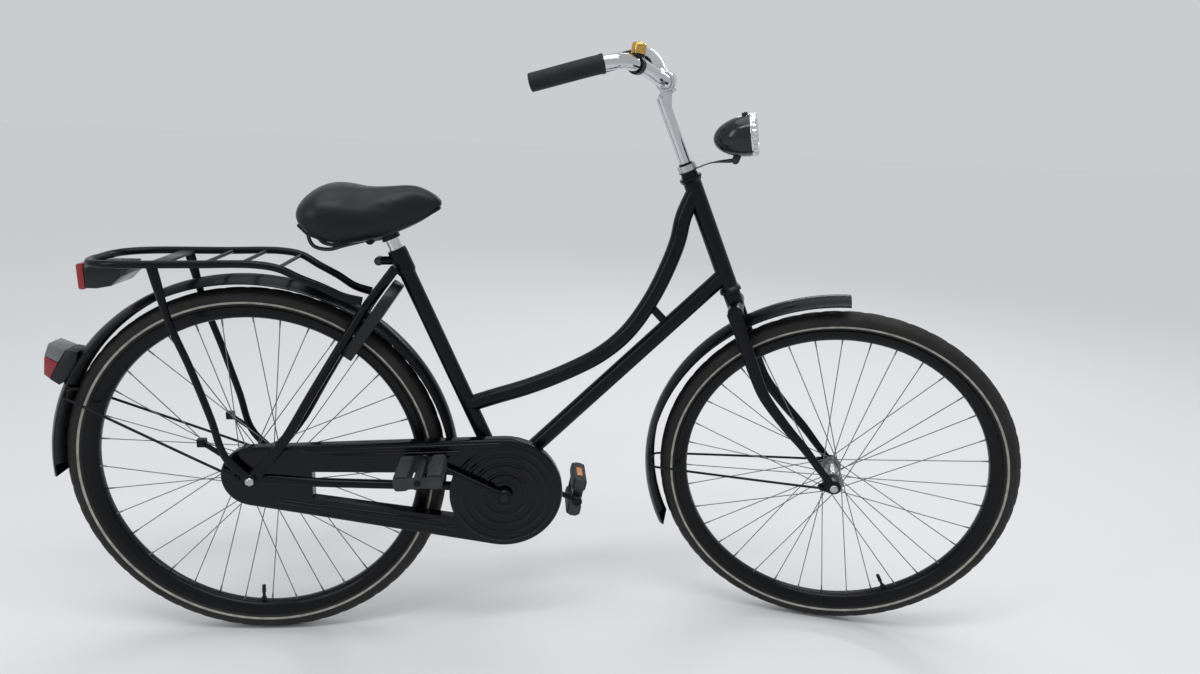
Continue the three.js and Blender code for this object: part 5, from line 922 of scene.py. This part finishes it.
plate(bm, [(low_x, 313), (low_x, 303.5), (high_x, 303.5), (high_x, 313)], CASE_OUT - 0.5, CASE_OUT + 1)
made_of("chain_case_pressing", bm, "frame", GLOSS_BLACK)

# %% [markdown]
# Cranks and pedals. The arms are forged bars with rounded edges and a swelling at each end. A pedal
# has two rubber blocks with grooves across them, and an amber reflector let into each face.

# %% Cranks and pedals
CRANKS = BIKE @ Matrix.Translation(BRACKET)
for name, side in SIDES:
    degrees = 153 if side < 0 else 153 - 180
    inner, outer = sorted((side * 60.8, side * 73.8))
    bm = bmesh.new()
    sweep(bm, spline([(0, side * 67.3, 0), (30, side * 67.3, 0), (140, side * 67.3, 0), (170, side * 67.3, 0)], 24),
          scaled([(0, 1, 1.25), (0.15, 1, 1.1), (0.8, 0.85, 0.85), (1, 0.85, 0.95)], 6.5), 20, (0, 1, 0))
    for x, radius in ((0, 15), (170, 11)):
        spun(bm, [(0, inner), (radius - 1.5, inner), (radius, inner + 1.5), (radius, outer - 1.5), (radius - 1.5, outer),
                  (0, outer)], 40, (x, 0, 0))
    spun(bm, [(0, side * 70), (6, side * 70), (6, side * 171), (0, side * 171.8)], 24, (170, 0, 0))
    place = CRANKS @ turn(-degrees, "Y")
    made_of(f"crank_bar_{name}", bm, "crank", BLACK_PAINT, f"crank_arm_{name}", place)
    bm = bmesh.new()
    spun(bm, [(0, side * 73.9), (7.6, side * 73.9), (8.2, side * 74.6), (7.6, side * 76.2), (0, side * 76.6)], 32)
    spun(bm, [(0, side * 76.4), (4, side * 76.4), (3.4, side * 77.8), (0, side * 78)], 6)
    made_of(f"crank_cap_{name}", bm, "crank", PLASTIC, (), CRANKS)

    tilt = 4 if side < 0 else 80
    pedal = CRANKS @ Matrix.Translation(polar(170, degrees)) @ turn(-tilt, "Y")
    low, high = sorted((side * 83.9, side * 169.7))
    for end, x in (("front", 29.5), ("rear", -29.5)):
        bm = bmesh.new()
        outline = []
        for cx, cz, start in ((7, 9.5, 0), (-7, 9.5, 90), (-7, -9.5, 180), (7, -9.5, 270)):
            outline += arc(cx, cz, 6, start, start + 90, 6)
        grooves = [low + 3 + 9.95 * k for k in range(9)]
        stations = [low]
        for g in grooves:
            stations += [g, g + 0.8, g + 2.2, g + 3]
        stations += [high]
        rings = []
        for k, y in enumerate(sorted(set(stations))):
            sunk = any(g + 0.5 < y < g + 2.5 for g in grooves)
            shrink = 0.9 if sunk else 1.0
            shrink = 0.93 if y in (low, high) else shrink
            rings.append([Vector((x + px * shrink, y, pz * shrink)) for px, pz in outline])
        skin(bm, rings)
        made_of(f"pedal_{name}_rubber_{end}", bm, f"pedal_{name}", PEDAL_RUBBER, f"pedal_{name}_block_{end}",
                pedal, 30)
        if (name, end) == ("right", "front"):
            continue
        bm = bmesh.new()
        reach = x + math.copysign(13.1, x)
        inside_x = x + math.copysign(10.5, x)
        a, b = sorted((reach, inside_x))
        plate(bm, [(a, -6), (b, -6), (b, 6), (a, 6)], (low + high) / 2 - 21, (low + high) / 2 + 21, 0.9, 2)
        made_of(f"pedal_{name}_reflector_{end}", bm, f"pedal_{name}", AMBER, (), pedal)

# %% [markdown]
# The saddle. A foam shape under stretched vinyl is full on top, drawn in along its lower edge, and
# a little swollen everywhere. The section is lofted a bit small, then cloth under light pressure
# swells it. Simulation gives the soft roll over the edge that a loft alone doesn't have.

# %% Saddle cushion
SADDLE = [(0, 0.46, 0.36, 0.55), (0.03, 0.68, 0.24, 0.78), (0.1, 0.86, 0.09, 0.93), (0.2, 0.98, -0.01, 1),
          (0.33, 0.975, -0.07, 0.93), (0.45, 0.93, -0.04, 0.76), (0.58, 0.94, 0.03, 0.54), (0.7, 0.975, 0.15, 0.38),
          (0.8, 1, 0.27, 0.3), (0.9, 0.92, 0.41, 0.24), (0.97, 0.82, 0.55, 0.17), (1, 0.73, 0.64, 0.08)]
SECTION = [(0.8, 0), (0.93, 0.14), (1, 0.34), (0.98, 0.56), (0.87, 0.76), (0.66, 0.9), (0.36, 0.98), (0, 1)]
saddle_place = on_seat(532) + Vector((-158, 0, 3))
SADDLE_SIZE = Vector((255, 103, 98))
START_INSET = 2.2


def saddle_spot(x, y, z):
    return saddle_place + Vector((SADDLE_SIZE.x * x, SADDLE_SIZE.y * y, SADDLE_SIZE.z * z))


def saddle_rings(count, inset):
    rows = spline([Vector((x, crest, foot)) for x, crest, foot, width in SADDLE], count)
    widths = between([(x, width) for x, crest, foot, width in SADDLE])
    half = spline([Vector((0, *pair)) for pair in SECTION], 18)
    section = [(p.y, p.z) for p in half] + [(-p.y, p.z) for p in reversed(half[:-1])]
    rings = []
    for row in rows:
        x = min(1, max(0, row.x))
        width = widths(x)[0]
        middle = Vector((0.5 + (x - 0.5) * (1 - 2 * inset / 255), 0, 0)).x
        height = max(row.y - row.z, 0.02)
        squeeze = 1 - 2 * inset / (98 * height) if height > 0.1 else 0.6
        narrow = max(0.4, 1 - inset / (103 * width))
        rings.append([saddle_spot(middle, y * width * narrow, row.z + height * (0.5 + (z - 0.5) * squeeze))
                      for y, z in section])
    return rings


bm = bmesh.new()
skin(bm, saddle_rings(56, START_INSET))
bmesh.ops.recalc_face_normals(bm, faces=bm.faces)
bmesh.ops.transform(bm, matrix=BIKE, verts=bm.verts)
mesh = bpy.data.meshes.new("saddle_cover")
bm.to_mesh(mesh)
bm.free()
cushion = new_object("saddle_cover", mesh)
remesh = cushion.modifiers.new("remesh", "REMESH")
remesh.mode = "VOXEL"
remesh.voxel_size = 4.5 * MM
remesh.use_smooth_shade = True
MOST_SWELL = 2.6


def applied(piece):
    shown = piece.evaluated_get(bpy.context.evaluated_depsgraph_get())
    made = bpy.data.meshes.new_from_object(shown)
    piece.modifiers.clear()
    piece.data = made
    return made


applied(cushion)
before = [v.co.copy() for v in cushion.data.vertices]
cloth = cushion.modifiers.new("cloth", "CLOTH")
cloth.settings.use_pressure = True
cloth.settings.uniform_pressure_force = 4
cloth.settings.effector_weights.gravity = 0
cloth.settings.quality = 6
scene = bpy.context.scene
for number in range(1, 21):
    scene.frame_set(number)
made = applied(cushion)
scene.frame_set(1)
for v, start in zip(made.vertices, before):
    moved = v.co - start
    if moved.length > MOST_SWELL * MM:
        v.co = start + moved.normalized() * MOST_SWELL * MM
smooth = cushion.modifiers.new("smooth", "SMOOTH")
smooth.factor = 0.5
smooth.iterations = 14
subdivide = cushion.modifiers.new("subdivide", "SUBSURF")
subdivide.levels = subdivide.render_levels = 1
mesh = applied(cushion)
mesh.materials.clear()
mesh.materials.append(VINYL)
for face in mesh.polygons:
    face.use_smooth = True
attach(cushion, "seat")
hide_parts("saddle_cushion")
print("saddle cushion", len(mesh.polygons), "faces", [round(1000 * d) for d in cushion.dimensions])

# %% Seat post and saddle rails
RAILS = [(0.88, 0.47, 0), (0.84, 0.41, 0.32), (0.741, 0.27, 0.66), (0.631, 0.12, 0.82), (0.486, -0.01, 0.86),
         (0.31, -0.14, 0.9), (0.2, -0.22, 0.95), (0.1, -0.17, 1), (0.066, -0.005, 1), (0.075, 0.2, 1)]
bm = bmesh.new()
tube(bm, [on_seat(362), on_seat(538.5)], 12.7, 32)
made_of("seat_post_tube", bm, "seat", CHROME, "seatpost")


def rail_side(side):
    return [saddle_place + Vector((255 * x, side * 28 * y, 98 * z)) for x, z, y in RAILS]


bm = bmesh.new()
tube(bm, spline(rail_side(-1)[::-1] + rail_side(1)[1:], 96), 3.5, 16)
made_of("saddle_wires", bm, "seat", DARK_STEEL, "saddle_rails")
